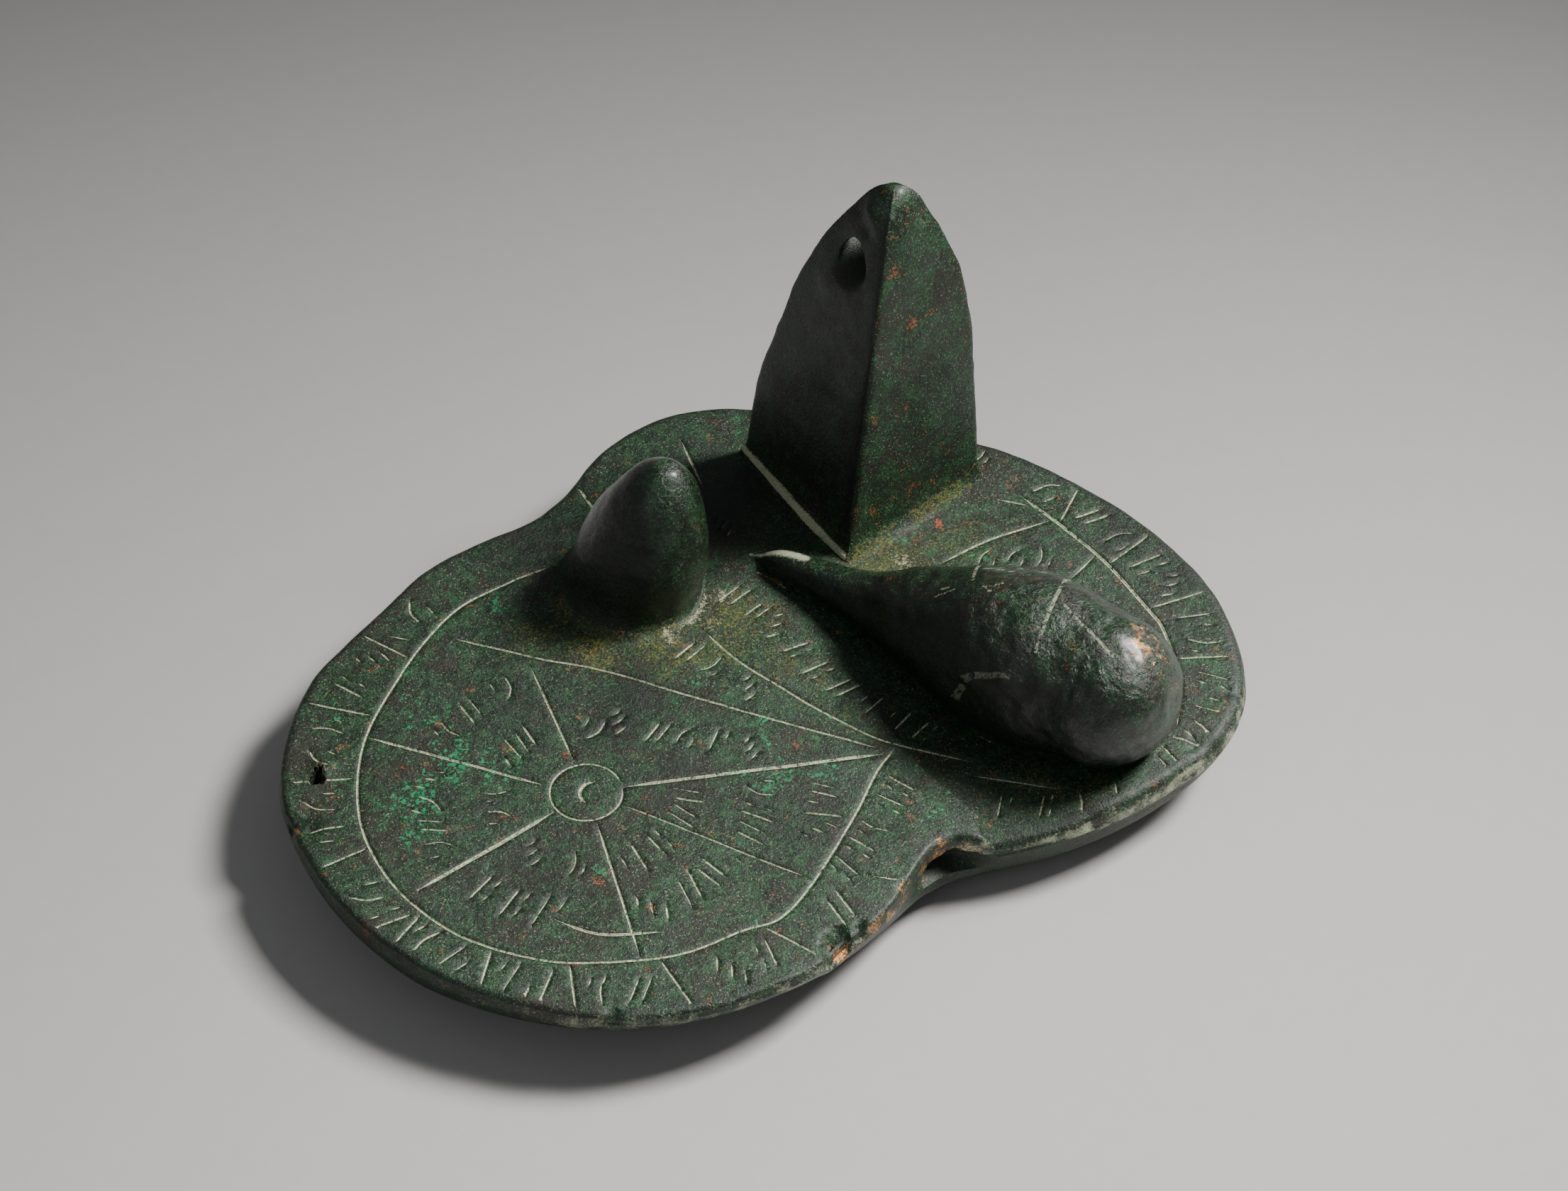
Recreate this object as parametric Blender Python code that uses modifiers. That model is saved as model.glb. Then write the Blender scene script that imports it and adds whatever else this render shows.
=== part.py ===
"""A bronze model of a sheep's liver, cast in one piece.

A plate with two lobes and a convex underside carries three swellings: a three-sided pyramid, an egg-shaped nub and
a lying teardrop, the gall bladder. The long side of the plate runs along X, the notch between the lobes faces -Y,
and the liver rests on a small flat spot at Z = 0. All sizes are in metres.
"""

import math

import bmesh
import bpy
import numpy as np
from mathutils import Matrix, Vector

MM = 0.001

# The plate
PLATE_TOP = 10.5 * MM
EDGE_ROUND = 0.9 * MM
WALL_CREST = 0.5
WALL_HEIGHTS = (
    (-180, 4.4), (-146, 5.4), (-120, 3.4), (-100, 3.0), (-82, 4.6), (-66, 8.0), (-48, 6.8), (-25, 5.4), (0, 4.6),
    (60, 4.0), (120, 3.6), (180, 4.4),
)
OUTLINE_POINTS = 128
OUTLINE_SOFTENING = 1.1 * MM
UNDERSIDE_SOFTENING = 6 * MM
FLAT_SHARE = 0.40
FLAT_CENTRE = (3 * MM, 2 * MM)
UNDERSIDE_RINGS = 7
UNDERSIDE_POWER = 1.45
FURROW_DEPTH = 1.2 * MM
FURROW_WIDTH = 5 * MM
FURROW_ENDS = ((14 * MM, -34 * MM), (-21 * MM, 35 * MM))

# The outline of the plate, anticlockwise from the right end: centre, radius, first and last angle of each arc
OUTLINE_ARCS = (
    (30.1, -5.8, 32.8, -12, 25),
    (3.0, -15.3, 61.6, 28, 70),
    (3.4, 27.3, 22.4, 58, 136),
    (-35.1, 60.1, 28.3, 318, 296),
    (-16.1, -12.3, 47.2, 101, 118),
    (-28.4, -6.7, 34.5, 138, 173),
    (-16.0, -3.6, 46.9, 179, 221),
    (-9.0, 7.1, 59.4, 227, 242),
    (-20.2, -13.8, 35.8, 248, 271),
    (-19.5, -5.4, 44.2, 275, 291),
    (-7.8, -22.5, 23.0, 296, 326),
    (17.4, -37.2, 5.5, 142, 64),
    (27.3, 14.7, 48.0, 263, 296),
    (41.8, -8.7, 20.8, 293, 338),
)

# The step between the lobes, where the left lobe stands over the right one beside the notch
STEP_START = (14.2, -14.6)
STEP_TIP = (21.4, -28.6)
STEP_TIP_DEPTH = 1.5
STEP_OUTER = ((20.6, -38.0), (40.0, -40.0))
STEP_FAR = (42.0, -33.0)
HOLLOW_CENTRE = (16.8 * MM, -32.2 * MM, 6.6 * MM)
HOLLOW_RADII = (2.5 * MM, 5.0 * MM, 1.25 * MM)
HOLLOW_TURN = math.radians(12)

# The pyramid: base corners, apex, and how much of the base is left at each share of the height
PYRAMID_CORNERS = ((17.0, 17.6), (38.3, 28.3), (8.6, 40.6))
PYRAMID_APEX = (27.1, 34.4)
PYRAMID_HEIGHT = 49.5 * MM
PYRAMID_TAPER = ((0, 1.0), (0.18, 0.94), (0.36, 0.86), (0.54, 0.77), (0.7, 0.63), (0.83, 0.46), (0.93, 0.28), (1, 0.10))
PYRAMID_SIDE_POINTS = 12
PYRAMID_RINGS = 16
PYRAMID_SINK = 3 * MM
PYRAMID_CORNER_ROUND = 0.16
CORD_HOLE_HEIGHT = 38.5 * MM
CORD_HOLE_RADII = (2.8 * MM, 3.3 * MM)
CORD_HOLE_SHIFT = (-4.5, -0.2, 0)
CORD_HOLE_DIRECTION = (0.75, 0.66, 0.5)

# The nub: a profile of (radius, height) over the plate, top to bottom, and its place and lean
NUB_PLACE = (-11.5, 20.5)
NUB_LEAN = math.radians(13.4)
NUB_LEAN_TOWARDS = math.radians(-12)
NUB_PROFILE = (
    (0, 22.4), (1.2, 22.3), (2.3, 21.7), (4.4, 19.3), (6.2, 15.4), (7.9, 10.8), (8.7, 6.2), (8.9, 2.5),
    (9.0, -3.0), (0, -3.0),
)
NUB_STEPS = 48

# The gall bladder: (distance from the round end, radius) along its axis, and the two ends of that axis
BLADDER_ROUND_END = (47.9, -27.3, 9.6)
BLADDER_NECK_END = (4.3, 22.0, 0.6)
BLADDER_PROFILE = (
    (1.2, 0), (1.8, 3.5), (3.6, 6.5), (6.6, 8.8), (9.4, 9.7), (14.0, 10.1), (20.0, 11.3), (28.0, 10.4),
    (37.0, 7.5), (46.0, 4.0), (54.0, 2.6), (60.0, 1.9), (63.2, 0.9), (64.2, 0),
)
BLADDER_STEPS = 40

# The casting flaw in the rim of the left lobe
RIM_PIT_PLACE = (-57.6, -1.6)
RIM_PIT_RADIUS = 1.1 * MM
RIM_PIT_DEPTH = 3 * MM

BRONZE_COLOUR = (0.028, 0.062, 0.036, 1.0)
BRONZE_METALLIC = 0.45
BRONZE_ROUGHNESS = 0.42


def clear_scene():
    for old in list(bpy.data.objects):
        bpy.data.objects.remove(old)


def new_collection(name):
    collection = bpy.data.collections.new(name)
    bpy.context.scene.collection.children.link(collection)
    return collection


def bronze():
    material = bpy.data.materials.new("patinated_bronze")
    material.use_nodes = True
    shader = material.node_tree.nodes["Principled BSDF"]
    shader.inputs["Base Color"].default_value = BRONZE_COLOUR
    shader.inputs["Metallic"].default_value = BRONZE_METALLIC
    shader.inputs["Roughness"].default_value = BRONZE_ROUGHNESS
    return material


def mesh_object(name, points, faces, collection):
    """A mesh object whose faces are turned to point outwards."""
    mesh = bpy.data.meshes.new(name)
    mesh.from_pydata([tuple(point) for point in points], [], faces)
    shape = bmesh.new()
    shape.from_mesh(mesh)
    bmesh.ops.recalc_face_normals(shape, faces=shape.faces)
    shape.to_mesh(mesh)
    shape.free()
    result = bpy.data.objects.new(name, mesh)
    collection.objects.link(result)
    return result


def bridged(rings, count):
    """Quads between each ring and the next, with a cap on the first ring and on the last."""
    faces = [list(range(count))]
    for ring in range(rings - 1):
        for i in range(count):
            j = (i + 1) % count
            faces.append([ring * count + i, ring * count + j, (ring + 1) * count + j, (ring + 1) * count + i])
    faces.append([(rings - 1) * count + i for i in reversed(range(count))])
    return faces


def evened(loop, count):
    """A closed loop's points, spaced evenly along it."""
    closed = np.vstack([loop, loop[:1]])
    along = np.concatenate([[0], np.cumsum(np.linalg.norm(np.diff(closed, axis=0), axis=1))])
    places = np.linspace(0, along[-1], count, endpoint=False)
    return np.stack([np.interp(places, along, closed[:, axis]) for axis in range(2)], axis=1), along[-1]


def outline(count, softening):
    """The plate's edge: its arcs joined by straight runs, and every join softened by a periodic Gaussian."""
    arcs = []
    for x, y, radius, first, last in OUTLINE_ARCS:
        turn = np.radians(np.linspace(first, last, 12))
        arcs.append(np.stack([x + radius * np.cos(turn), y + radius * np.sin(turn)], axis=1))
    fine, length = evened(np.vstack(arcs) * MM, 8 * count)
    waves = np.fft.fftfreq(len(fine), length / len(fine))
    keep = np.exp(-2 * (math.pi * waves * softening) ** 2)
    soft = np.fft.ifft(np.fft.fft(fine, axis=0) * keep[:, None], axis=0).real
    return evened(soft, count)[0]


def wall_height(points):
    """The wall under the rim, by the direction from the middle: high beside the notch, thin on the left lobe."""
    angles, heights = np.array(WALL_HEIGHTS).T
    return np.interp(np.degrees(np.arctan2(points[:, 1], points[:, 0])), angles, heights) * MM


def furrow(points):
    """How far the underside is drawn in along the line between its two lobes."""
    start, end = np.array(FURROW_ENDS)
    along = (end - start) / np.linalg.norm(end - start)
    across = (points - start) @ np.array([-along[1], along[0]])
    return FURROW_DEPTH * np.exp(-((across / FURROW_WIDTH) ** 2))


def plate(collection):
    """Rings of the outline, from the flat spot up the convex underside, round the rim and in over the top."""
    edge = outline(OUTLINE_POINTS, OUTLINE_SOFTENING)
    belly = outline(OUTLINE_POINTS, UNDERSIDE_SOFTENING)
    centre = np.array(FLAT_CENTRE)
    wall = wall_height(edge)
    rings = []
    for share in np.linspace(0, 1, UNDERSIDE_RINGS + 1):
        spread = FLAT_SHARE + (1 - FLAT_SHARE) * share**0.85
        flat = centre + (belly - centre) * spread * (1 - 0.012 * share)
        lift = share**UNDERSIDE_POWER
        rings.append(np.column_stack([flat, (PLATE_TOP - wall) * lift + furrow(flat) * share]))
    inwards = (centre - edge) / np.linalg.norm(centre - edge, axis=1)[:, None]
    rings.append(np.column_stack([edge, PLATE_TOP - wall * WALL_CREST]))
    for turn in np.radians((0, 45, 90)):
        inset, drop = EDGE_ROUND * (1 - math.cos(turn)), EDGE_ROUND * (1 - math.sin(turn))
        rings.append(np.column_stack([edge + inwards * inset, np.full(len(edge), PLATE_TOP - drop)]))
    return mesh_object("liver", np.vstack(rings), bridged(len(rings), len(edge)), collection)


def pyramid(collection):
    """Rounded triangles that shrink to the apex. Their middle slides from the middle of the base to the apex."""
    corners = np.array(PYRAMID_CORNERS) * MM
    middle = corners.mean(axis=0)
    side = np.linspace(0, 1, PYRAMID_SIDE_POINTS, endpoint=False)[:, None]
    sides = [corners[i] + (corners[(i + 1) % 3] - corners[i]) * side for i in range(3)]
    base = np.vstack(sides) - middle
    softer = (np.roll(base, 1, axis=0) + base + np.roll(base, -1, axis=0)) / 3
    base = base + (softer - base) * 2 * PYRAMID_CORNER_ROUND
    heights, shares = np.array(PYRAMID_TAPER).T
    slide = np.array(PYRAMID_APEX) * MM - middle
    rings = [np.column_stack([middle + base, np.full(len(base), PLATE_TOP - PYRAMID_SINK)])]
    for share in np.sin(np.linspace(0, math.pi / 2, PYRAMID_RINGS)):
        flat = middle + slide * share + base * np.interp(share, heights, shares)
        rings.append(np.column_stack([flat, np.full(len(base), PLATE_TOP + PYRAMID_HEIGHT * share)]))
    return mesh_object("pyramid", np.vstack(rings), bridged(len(rings), len(base)), collection)


def turned(name, profile, steps, collection):
    """A closed turned shape from a profile of (radius, height), top to bottom."""
    mesh = bpy.data.meshes.new(name)
    points = [(radius, 0, height) for radius, height in profile]
    mesh.from_pydata(points, [(i, i + 1) for i in range(len(points) - 1)], [])
    result = bpy.data.objects.new(name, mesh)
    collection.objects.link(result)
    screw = result.modifiers.new("Screw", "SCREW")
    screw.steps = steps
    screw.render_steps = steps
    screw.use_merge_vertices = True
    screw.merge_threshold = 0.0001
    return result


def smooth_profile(points, per_span=2):
    """More points on a profile, on a Catmull-Rom curve through its named ones."""
    points = np.array(points, float)
    padded = np.vstack([2 * points[0] - points[1], points, 2 * points[-1] - points[-2]])
    result = []
    for i in range(len(points) - 1):
        before, start, end, after = padded[i : i + 4]
        for t in np.arange(per_span) / per_span:
            result.append(
                0.5
                * (
                    2 * start
                    + (end - before) * t
                    + (2 * before - 5 * start + 4 * end - after) * t**2
                    + (3 * start - before - 3 * end + after) * t**3
                )
            )
    return np.vstack([result, points[-1:]])


def nub(collection):
    result = turned("nub", np.array(NUB_PROFILE) * MM, NUB_STEPS, collection)
    axis = Vector((-math.sin(NUB_LEAN_TOWARDS), math.cos(NUB_LEAN_TOWARDS), 0))
    place = Matrix.Translation((NUB_PLACE[0] * MM, NUB_PLACE[1] * MM, PLATE_TOP))
    result.matrix_world = place @ Matrix.Rotation(NUB_LEAN, 4, axis)
    return result


def gall_bladder(collection):
    """A turned teardrop laid along the line between its two ends."""
    far, near = Vector(BLADDER_ROUND_END) * MM, Vector(BLADDER_NECK_END) * MM
    curve = smooth_profile(BLADDER_PROFILE)[:, ::-1] * MM
    curve[:, 0] = curve[:, 0].clip(0)
    curve[[0, -1], 0] = 0
    curve[:, 1] *= -1
    result = turned("gall_bladder", curve, BLADDER_STEPS, collection)
    result.matrix_world = Matrix.Translation(far + Vector((0, 0, PLATE_TOP))) @ (far - near).to_track_quat(
        "Z", "Y"
    ).to_matrix().to_4x4()
    return result


def step_cutter(collection):
    """A wedge over the right lobe: its floor dips from the line between the step's start and its far side."""
    loop = np.array([STEP_START, STEP_TIP, *STEP_OUTER, STEP_FAR])
    along = (loop[-1] - loop[0]) / np.linalg.norm(loop[-1] - loop[0])
    across = (loop - loop[0]) @ np.array([along[1], -along[0]])
    depth = STEP_TIP_DEPTH * MM * across / across[1]
    low = np.column_stack([loop * MM, PLATE_TOP - depth])
    high = np.column_stack([loop * MM, np.full(len(loop), PLATE_TOP + 5 * MM)])
    return mesh_object("step_cutter", np.vstack([low, high]), bridged(2, len(loop)), collection)


def ball_cutter(name, place, radii, turn, collection):
    shape = bmesh.new()
    bmesh.ops.create_uvsphere(shape, u_segments=20, v_segments=12, radius=1)
    mesh = bpy.data.meshes.new(name)
    shape.to_mesh(mesh)
    shape.free()
    mesh.transform(Matrix.Diagonal((*radii, 1)))
    result = bpy.data.objects.new(name, mesh)
    collection.objects.link(result)
    result.matrix_world = Matrix.Translation(place) @ Matrix.Rotation(turn, 4, "Z")
    return result


def rod_cutter(name, place, radii, length, direction, collection):
    """An oval rod through the given place, its second radius as upright as the direction allows."""
    shape = bmesh.new()
    bmesh.ops.create_cone(shape, cap_ends=True, segments=20, radius1=1, radius2=1, depth=1)
    mesh = bpy.data.meshes.new(name)
    shape.to_mesh(mesh)
    shape.free()
    mesh.transform(Matrix.Diagonal((*radii, length, 1)))
    result = bpy.data.objects.new(name, mesh)
    collection.objects.link(result)
    turn = Vector(direction).to_track_quat("Z", "Y").to_matrix().to_4x4()
    result.matrix_world = Matrix.Translation(place) @ turn
    return result


def pyramid_middle(height):
    """The middle of the pyramid's section at a height over the plate."""
    middle = np.array(PYRAMID_CORNERS).mean(axis=0)
    flat = middle + (np.array(PYRAMID_APEX) - middle) * height / PYRAMID_HEIGHT
    return Vector((flat[0] * MM, flat[1] * MM, PLATE_TOP + height))


def apply_boolean(target, other, operation):
    modifier = target.modifiers.new(other.name, "BOOLEAN")
    modifier.operation = operation
    modifier.solver = "EXACT"
    modifier.object = other


def main():
    clear_scene()
    collection = new_collection("bronze_liver")
    helpers = new_collection("cutters")
    liver = plate(collection)
    joined = [pyramid(helpers), nub(helpers), gall_bladder(helpers)]
    cut = [
        step_cutter(helpers),
        ball_cutter("hollow_cutter", HOLLOW_CENTRE, HOLLOW_RADII, HOLLOW_TURN, helpers),
        rod_cutter(
            "rim_pit_cutter",
            (RIM_PIT_PLACE[0] * MM, RIM_PIT_PLACE[1] * MM, PLATE_TOP),
            (RIM_PIT_RADIUS, RIM_PIT_RADIUS),
            2 * RIM_PIT_DEPTH,
            (0, 0, 1),
            helpers,
        ),
        rod_cutter(
            "cord_hole_cutter",
            pyramid_middle(CORD_HOLE_HEIGHT) + Vector(CORD_HOLE_SHIFT) * MM,
            CORD_HOLE_RADII,
            60 * MM,
            CORD_HOLE_DIRECTION,
            helpers,
        ),
    ]
    apply_boolean(liver, cut[0], "DIFFERENCE")
    for other in joined:
        apply_boolean(liver, other, "UNION")
    for other in cut[1:]:
        apply_boolean(liver, other, "DIFFERENCE")
    for helper in joined + cut:
        helper.hide_render = True
        helper.display_type = "WIRE"
    liver.data.materials.append(bronze())
    liver.data.shade_smooth()
    liver.data.set_sharp_from_angle(angle=math.radians(35))


main()
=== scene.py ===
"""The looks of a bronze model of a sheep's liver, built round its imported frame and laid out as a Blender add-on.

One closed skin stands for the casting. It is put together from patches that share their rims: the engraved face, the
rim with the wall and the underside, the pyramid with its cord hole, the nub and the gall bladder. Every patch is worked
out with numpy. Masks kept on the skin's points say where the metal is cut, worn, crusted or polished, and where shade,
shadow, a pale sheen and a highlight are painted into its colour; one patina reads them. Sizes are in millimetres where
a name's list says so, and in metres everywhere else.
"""

import math

import bpy
import numpy as np
from bpy.props import FloatProperty, FloatVectorProperty, PointerProperty
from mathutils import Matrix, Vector
from mathutils.geometry import delaunay_2d_cdt


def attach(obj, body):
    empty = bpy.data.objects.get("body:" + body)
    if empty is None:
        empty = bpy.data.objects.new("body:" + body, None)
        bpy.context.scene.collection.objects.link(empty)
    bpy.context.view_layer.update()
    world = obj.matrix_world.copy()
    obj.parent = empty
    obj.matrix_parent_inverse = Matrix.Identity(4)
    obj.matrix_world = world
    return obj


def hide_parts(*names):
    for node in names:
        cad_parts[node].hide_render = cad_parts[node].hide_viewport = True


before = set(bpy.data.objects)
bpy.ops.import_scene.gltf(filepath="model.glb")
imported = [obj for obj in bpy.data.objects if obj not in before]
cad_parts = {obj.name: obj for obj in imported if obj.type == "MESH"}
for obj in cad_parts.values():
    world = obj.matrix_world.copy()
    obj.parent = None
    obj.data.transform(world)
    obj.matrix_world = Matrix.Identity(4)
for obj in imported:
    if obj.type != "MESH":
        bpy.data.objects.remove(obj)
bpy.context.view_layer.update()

bl_info = {
    "name": "Bronze Liver",
    "version": (1, 0, 0),
    "blender": (4, 5, 0),
    "location": "3D View > Sidebar > Liver",
    "description": "Builds an ancient bronze liver model with its engraved face and patina",
    "category": "Add Mesh",
}

MM = 0.001
SEED = 41

# The plate, in millimetres: the same outline, wall and underside as the frame
PLATE_TOP = 10.5
WALL_CREST = 0.5
WALL_HEIGHTS = (
    (-180, 4.4), (-146, 5.4), (-120, 3.4), (-100, 3.0), (-82, 4.6), (-66, 8.0), (-48, 6.8), (-25, 5.4), (0, 4.6),
    (60, 4.0), (120, 3.6), (180, 4.4),
)
EDGE_ROUNDS = ((-180, 0.9), (-95, 0.9), (-72, 0.7), (-58, 1.7), (-20, 1.9), (10, 1.1), (60, 0.9), (180, 0.9))
OUTLINE_SOFTENING = 1.1
UNDERSIDE_SOFTENING = 6
FLAT_SHARE = 0.40
FLAT_CENTRE = (3, 2)
UNDERSIDE_POWER = 1.45
FURROW_DEPTH = 1.2
FURROW_WIDTH = 5
FURROW_ENDS = ((14, -34), (-21, 35))
OUTLINE_ARCS = (
    (30.1, -5.8, 32.8, -12, 25),
    (3.0, -15.3, 61.6, 28, 70),
    (3.4, 27.3, 22.4, 58, 136),
    (-35.1, 60.1, 28.3, 318, 296),
    (-16.1, -12.3, 47.2, 101, 118),
    (-28.4, -6.7, 34.5, 138, 173),
    (-16.0, -3.6, 46.9, 179, 221),
    (-9.0, 7.1, 59.4, 227, 242),
    (-20.2, -13.8, 35.8, 248, 271),
    (-19.5, -5.4, 44.2, 275, 291),
    (-7.8, -22.5, 23.0, 296, 326),
    (17.4, -37.2, 5.5, 142, 64),
    (27.3, 14.7, 48.0, 263, 296),
    (41.8, -8.7, 20.8, 293, 338),
)

# The step between the lobes and the hollow under its tip, in millimetres
STEP_START = (14.2, -14.6)
STEP_TIP = (21.4, -28.6)
STEP_TIP_DEPTH = 1.5
STEP_OUTER = (20.6, -38.0)
STEP_FAR = (42.0, -33.0)
STEP_BLUR = 0.45
HOLLOW_CENTRE = (16.8, -32.2, 6.6)
HOLLOW_RADII = (5.2, 1.5)
HOLLOW_DEPTH = 2.6

# Swellings and hollows of the pyramid's faces, in millimetres: x, y, height over the plate, radius and size
PYRAMID_KNOBS = (
    (24.0, 33.0, 47.0, 2.2, 0.9), (20.4, 36.0, 43.8, 2.0, 0.75), (22.2, 32.6, 44.2, 1.3, -0.7),
    (18.0, 35.2, 33.6, 2.4, 0.3), (25.6, 25.4, 30.0, 3.0, -0.25), (14.6, 29.0, 16.0, 6.0, -0.5),
    (21.9, 27.2, 38.5, 4.6, 0.35), (30.0, 26.0, 22.0, 6.0, -0.3), (10.5, 39.0, 12.0, 9.0, 0.9),
)

# The pyramid, in millimetres
PYRAMID_CORNERS = ((17.0, 17.6), (38.3, 28.3), (8.6, 40.6))
PYRAMID_APEX = (27.1, 34.4)
PYRAMID_HEIGHT = 49.5
PYRAMID_TAPER = (
    (0, 1.0), (0.18, 0.94), (0.36, 0.86), (0.54, 0.77), (0.7, 0.63), (0.83, 0.47), (0.91, 0.345), (0.96, 0.24),
    (0.99, 0.12), (1, 0),
)
PYRAMID_SIDE_POINTS = 42
PYRAMID_RINGS = 104
PYRAMID_FOOT_RINGS = (0, 0.22, 0.44, 0.62, 0.8, 1.0, 1.3, 1.8)
PYRAMID_CORNER_SOFTENING = 0.75
PYRAMID_TOP_RADIUS = 11.5
CORD_HOLE_HEIGHT = 38.5
CORD_HOLE_RADII = (3.0, 3.35)
CORD_HOLE_SIDES = (2.52, 1.59)
CORD_HOLE_RISE = 2.9
CORD_HOLE_FACE_LENGTHS = (13.6, 17.6)
CORD_HOLE_SLANT = 0.92

# The nub, in millimetres: (radius, height) over the plate, its place and its lean
NUB_PLACE = (-11.5, 20.5)
NUB_LEAN = 13.4
NUB_LEAN_TOWARDS = -12
NUB_PROFILE = (
    (0, 22.4), (1.2, 22.3), (2.3, 21.7), (4.4, 19.3), (6.2, 15.4), (7.9, 10.8), (8.7, 6.2), (8.9, 2.5),
    (9.5, 0.6), (10.5, -0.6),
)

# The gall bladder, in millimetres: (distance from the round end, radius) along its axis, and the axis's two ends
BLADDER_ROUND_END = (47.9, -27.3, 9.6)
BLADDER_NECK_END = (4.3, 22.0, 0.6)
BLADDER_PROFILE = (
    (0, 0), (0.6, 3.1), (2.4, 6.0), (5.4, 8.3), (9.4, 9.7), (14.0, 10.1), (20.0, 11.3), (28.0, 10.4),
    (37.0, 7.5), (46.0, 4.0), (54.0, 2.6), (60.0, 1.9), (63.2, 0.9), (64.2, 0),
)
BLADDER_BULB = 11.0
BLADDER_TAIL = 63.7

# Flaws and chips in millimetres: the pit in the rim of the left lobe, and (x, y, radius, depth) of each chip
RIM_PIT_PLACE = (-57.6, -1.6)
RIM_PIT_RADIUS = 1.1
RIM_PIT_DEPTH = 3
CHIPS = (
    (-0.8, -43.9, 2.6, 1.5), (2.6, -42.6, 1.7, 0.9), (-62.6, -8.2, 2.0, 0.8), (9.6, -37.4, 1.4, 0.5),
    (-53.2, -35.8, 1.3, 0.5), (17.6, -31.6, 1.3, 0.6), (-57.0, 14.8, 1.2, 0.4), (-45.8, 25.6, 1.1, 0.4),
    (51.8, -24.6, 1.6, 0.4), (58.6, -17.0, 1.2, 0.35), (-30.0, -47.6, 1.3, 0.4), (35.0, -32.4, 1.5, 0.3),
)

# The engraving, in millimetres: the wheel and its spokes, and the lines that divide the face
HUB = (-25.3, -12.8)
HUB_RADIUS = 4.6
WHEEL_RIM = (
    (14.4, -15.5), (11.0, -18.8), (6.5, -24.9), (-1.1, -33.8), (-6.6, -38.3), (-11.3, -39.0), (-19.7, -40.6),
    (-29.2, -39.5), (-36.7, -37.1), (-45.2, -31.2), (-51.0, -23.0), (-53.6, -14.0), (-53.3, -5.8), (-50.5, 3.1),
    (-44.7, 11.5), (-39.9, 17.2), (-34.1, 22.1), (-26.9, 24.7), (-21.4, 26.0),
)
SPOKES = (
    ((-19.9, -13.2), (12.5, -16.1), 0.62), ((-21.6, -15.6), (-1.6, -33.2), 0.34),
    ((-25.1, -18.2), (-24.7, -39.6), 0.42), ((-30.2, -15.0), (-48.8, -22.8), 0.66),
    ((-30.2, -10.4), (-50.2, 3.0), 0.5), ((-25.7, -7.4), (-27.6, 9.6), 0.42),
)
FACE_LINES = (
    (((-36.6, 17.0), (-27.4, 11.4), (-18.6, 6.6), (-10.6, 0.8), (1.0, -7.4), (12.5, -15.2)), 0.42),
    (((-4.6, 10.2), (-1.2, 3.4), (2.8, -2.0), (8.0, -8.6), (13.3, -14.0), (23.2, -20.2)), 0.42),
    (((42.5, 22.7), (46.3, 15.7), (49.9, 8.1), (52.8, -1.1), (53.6, -5.1), (52.9, -13.6), (50.4, -20.6)), 0.6),
    (((-33.4, -31.6), (-28.6, -35.2), (-21.0, -36.8)), 0.55),
    (((-45.0, 19.6), (-41.2, 17.6)), 0.4),
    (((44.6, 6.8), (48.7, 9.8)), 0.5),
    (((38.6, 23.4), (43.4, 20.6)), 0.45),
    (((28.6, 13.6), (36.4, 16.2), (44.8, 17.4)), 0.45),
    (((-12.6, 31.0), (-15.0, 40.6)), 0.5),
    (((1.6, 34.8), (0.8, 43.8)), 0.5),
    (((5.6, -34.6), (10.6, -37.0)), 0.4),
    (((22.0, -21.8), (33.0, -27.4)), 0.34),
)
BAND_DIVIDERS_LEFT = (-58, -84, -107, -128, -150, -176, 161, 141, 122)
BAND_DIVIDERS_RIGHT = (-47, -21, -1.5, 20, 43)
RIGHT_BAND_CENTRE = (28, 0)

# Rows of marks, in millimetres: the row's line, how many marks it holds and how tall they are
MARK_ROWS = (
    (((-1.0, 17.2), (3.0, 12.0), (5.6, 6.6), (8.4, -0.6), (12.4, -6.4), (16.6, -11.6), (20.6, -15.6)), 9, 4.2),
    (((-9.6, 9.0), (-5.6, 5.0), (-1.4, -1.0), (4.0, -7.0)), 4, 4.0),
    (((-20.0, -1.6), (-14.6, -5.4), (-8.2, -8.2), (-1.6, -12.2)), 5, 3.6),
    (((14.6, -20.0), (10.8, -24.6), (6.0, -29.8), (1.2, -34.6)), 5, 4.0),
    (((23.4, -26.8), (29.4, -28.6), (36.0, -30.0), (42.0, -29.6)), 4, 3.4),
    (((33.0, 13.4), (38.6, 12.4), (44.0, 10.4)), 3, 3.8),
    (((1.4, 27.6), (6.0, 26.2)), 2, 3.4),
    (((-7.6, 35.4), (-1.0, 37.4), (3.2, 39.0)), 3, 3.2),
    (((26.0, 12.4), (31.6, 8.6), (37.4, 5.2)), 3, 3.0),
    (((13.6, 45.4), (24.0, 41.4), (33.0, 36.4), (41.4, 29.8)), 8, 3.2),
)
SECTOR_ROWS = (
    (-40, -9, 13, 2, 4.2), (-38, -9, 22, 3, 4.6), (-36, -10, 30, 4, 4.4), (-84, -47, 12.5, 2, 4.2),
    (-84, -47, 20.5, 3, 4.6), (-148, -96, 11.5, 2, 4.0), (-150, -96, 19.5, 4, 4.6), (-205, -163, 11.5, 2, 4.0),
    (-205, -163, 20, 4, 4.4), (106, 142, 12, 2, 4.2), (102, 144, 20.5, 3, 4.6), (46, 84, 10.5, 2, 3.8),
)
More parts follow.
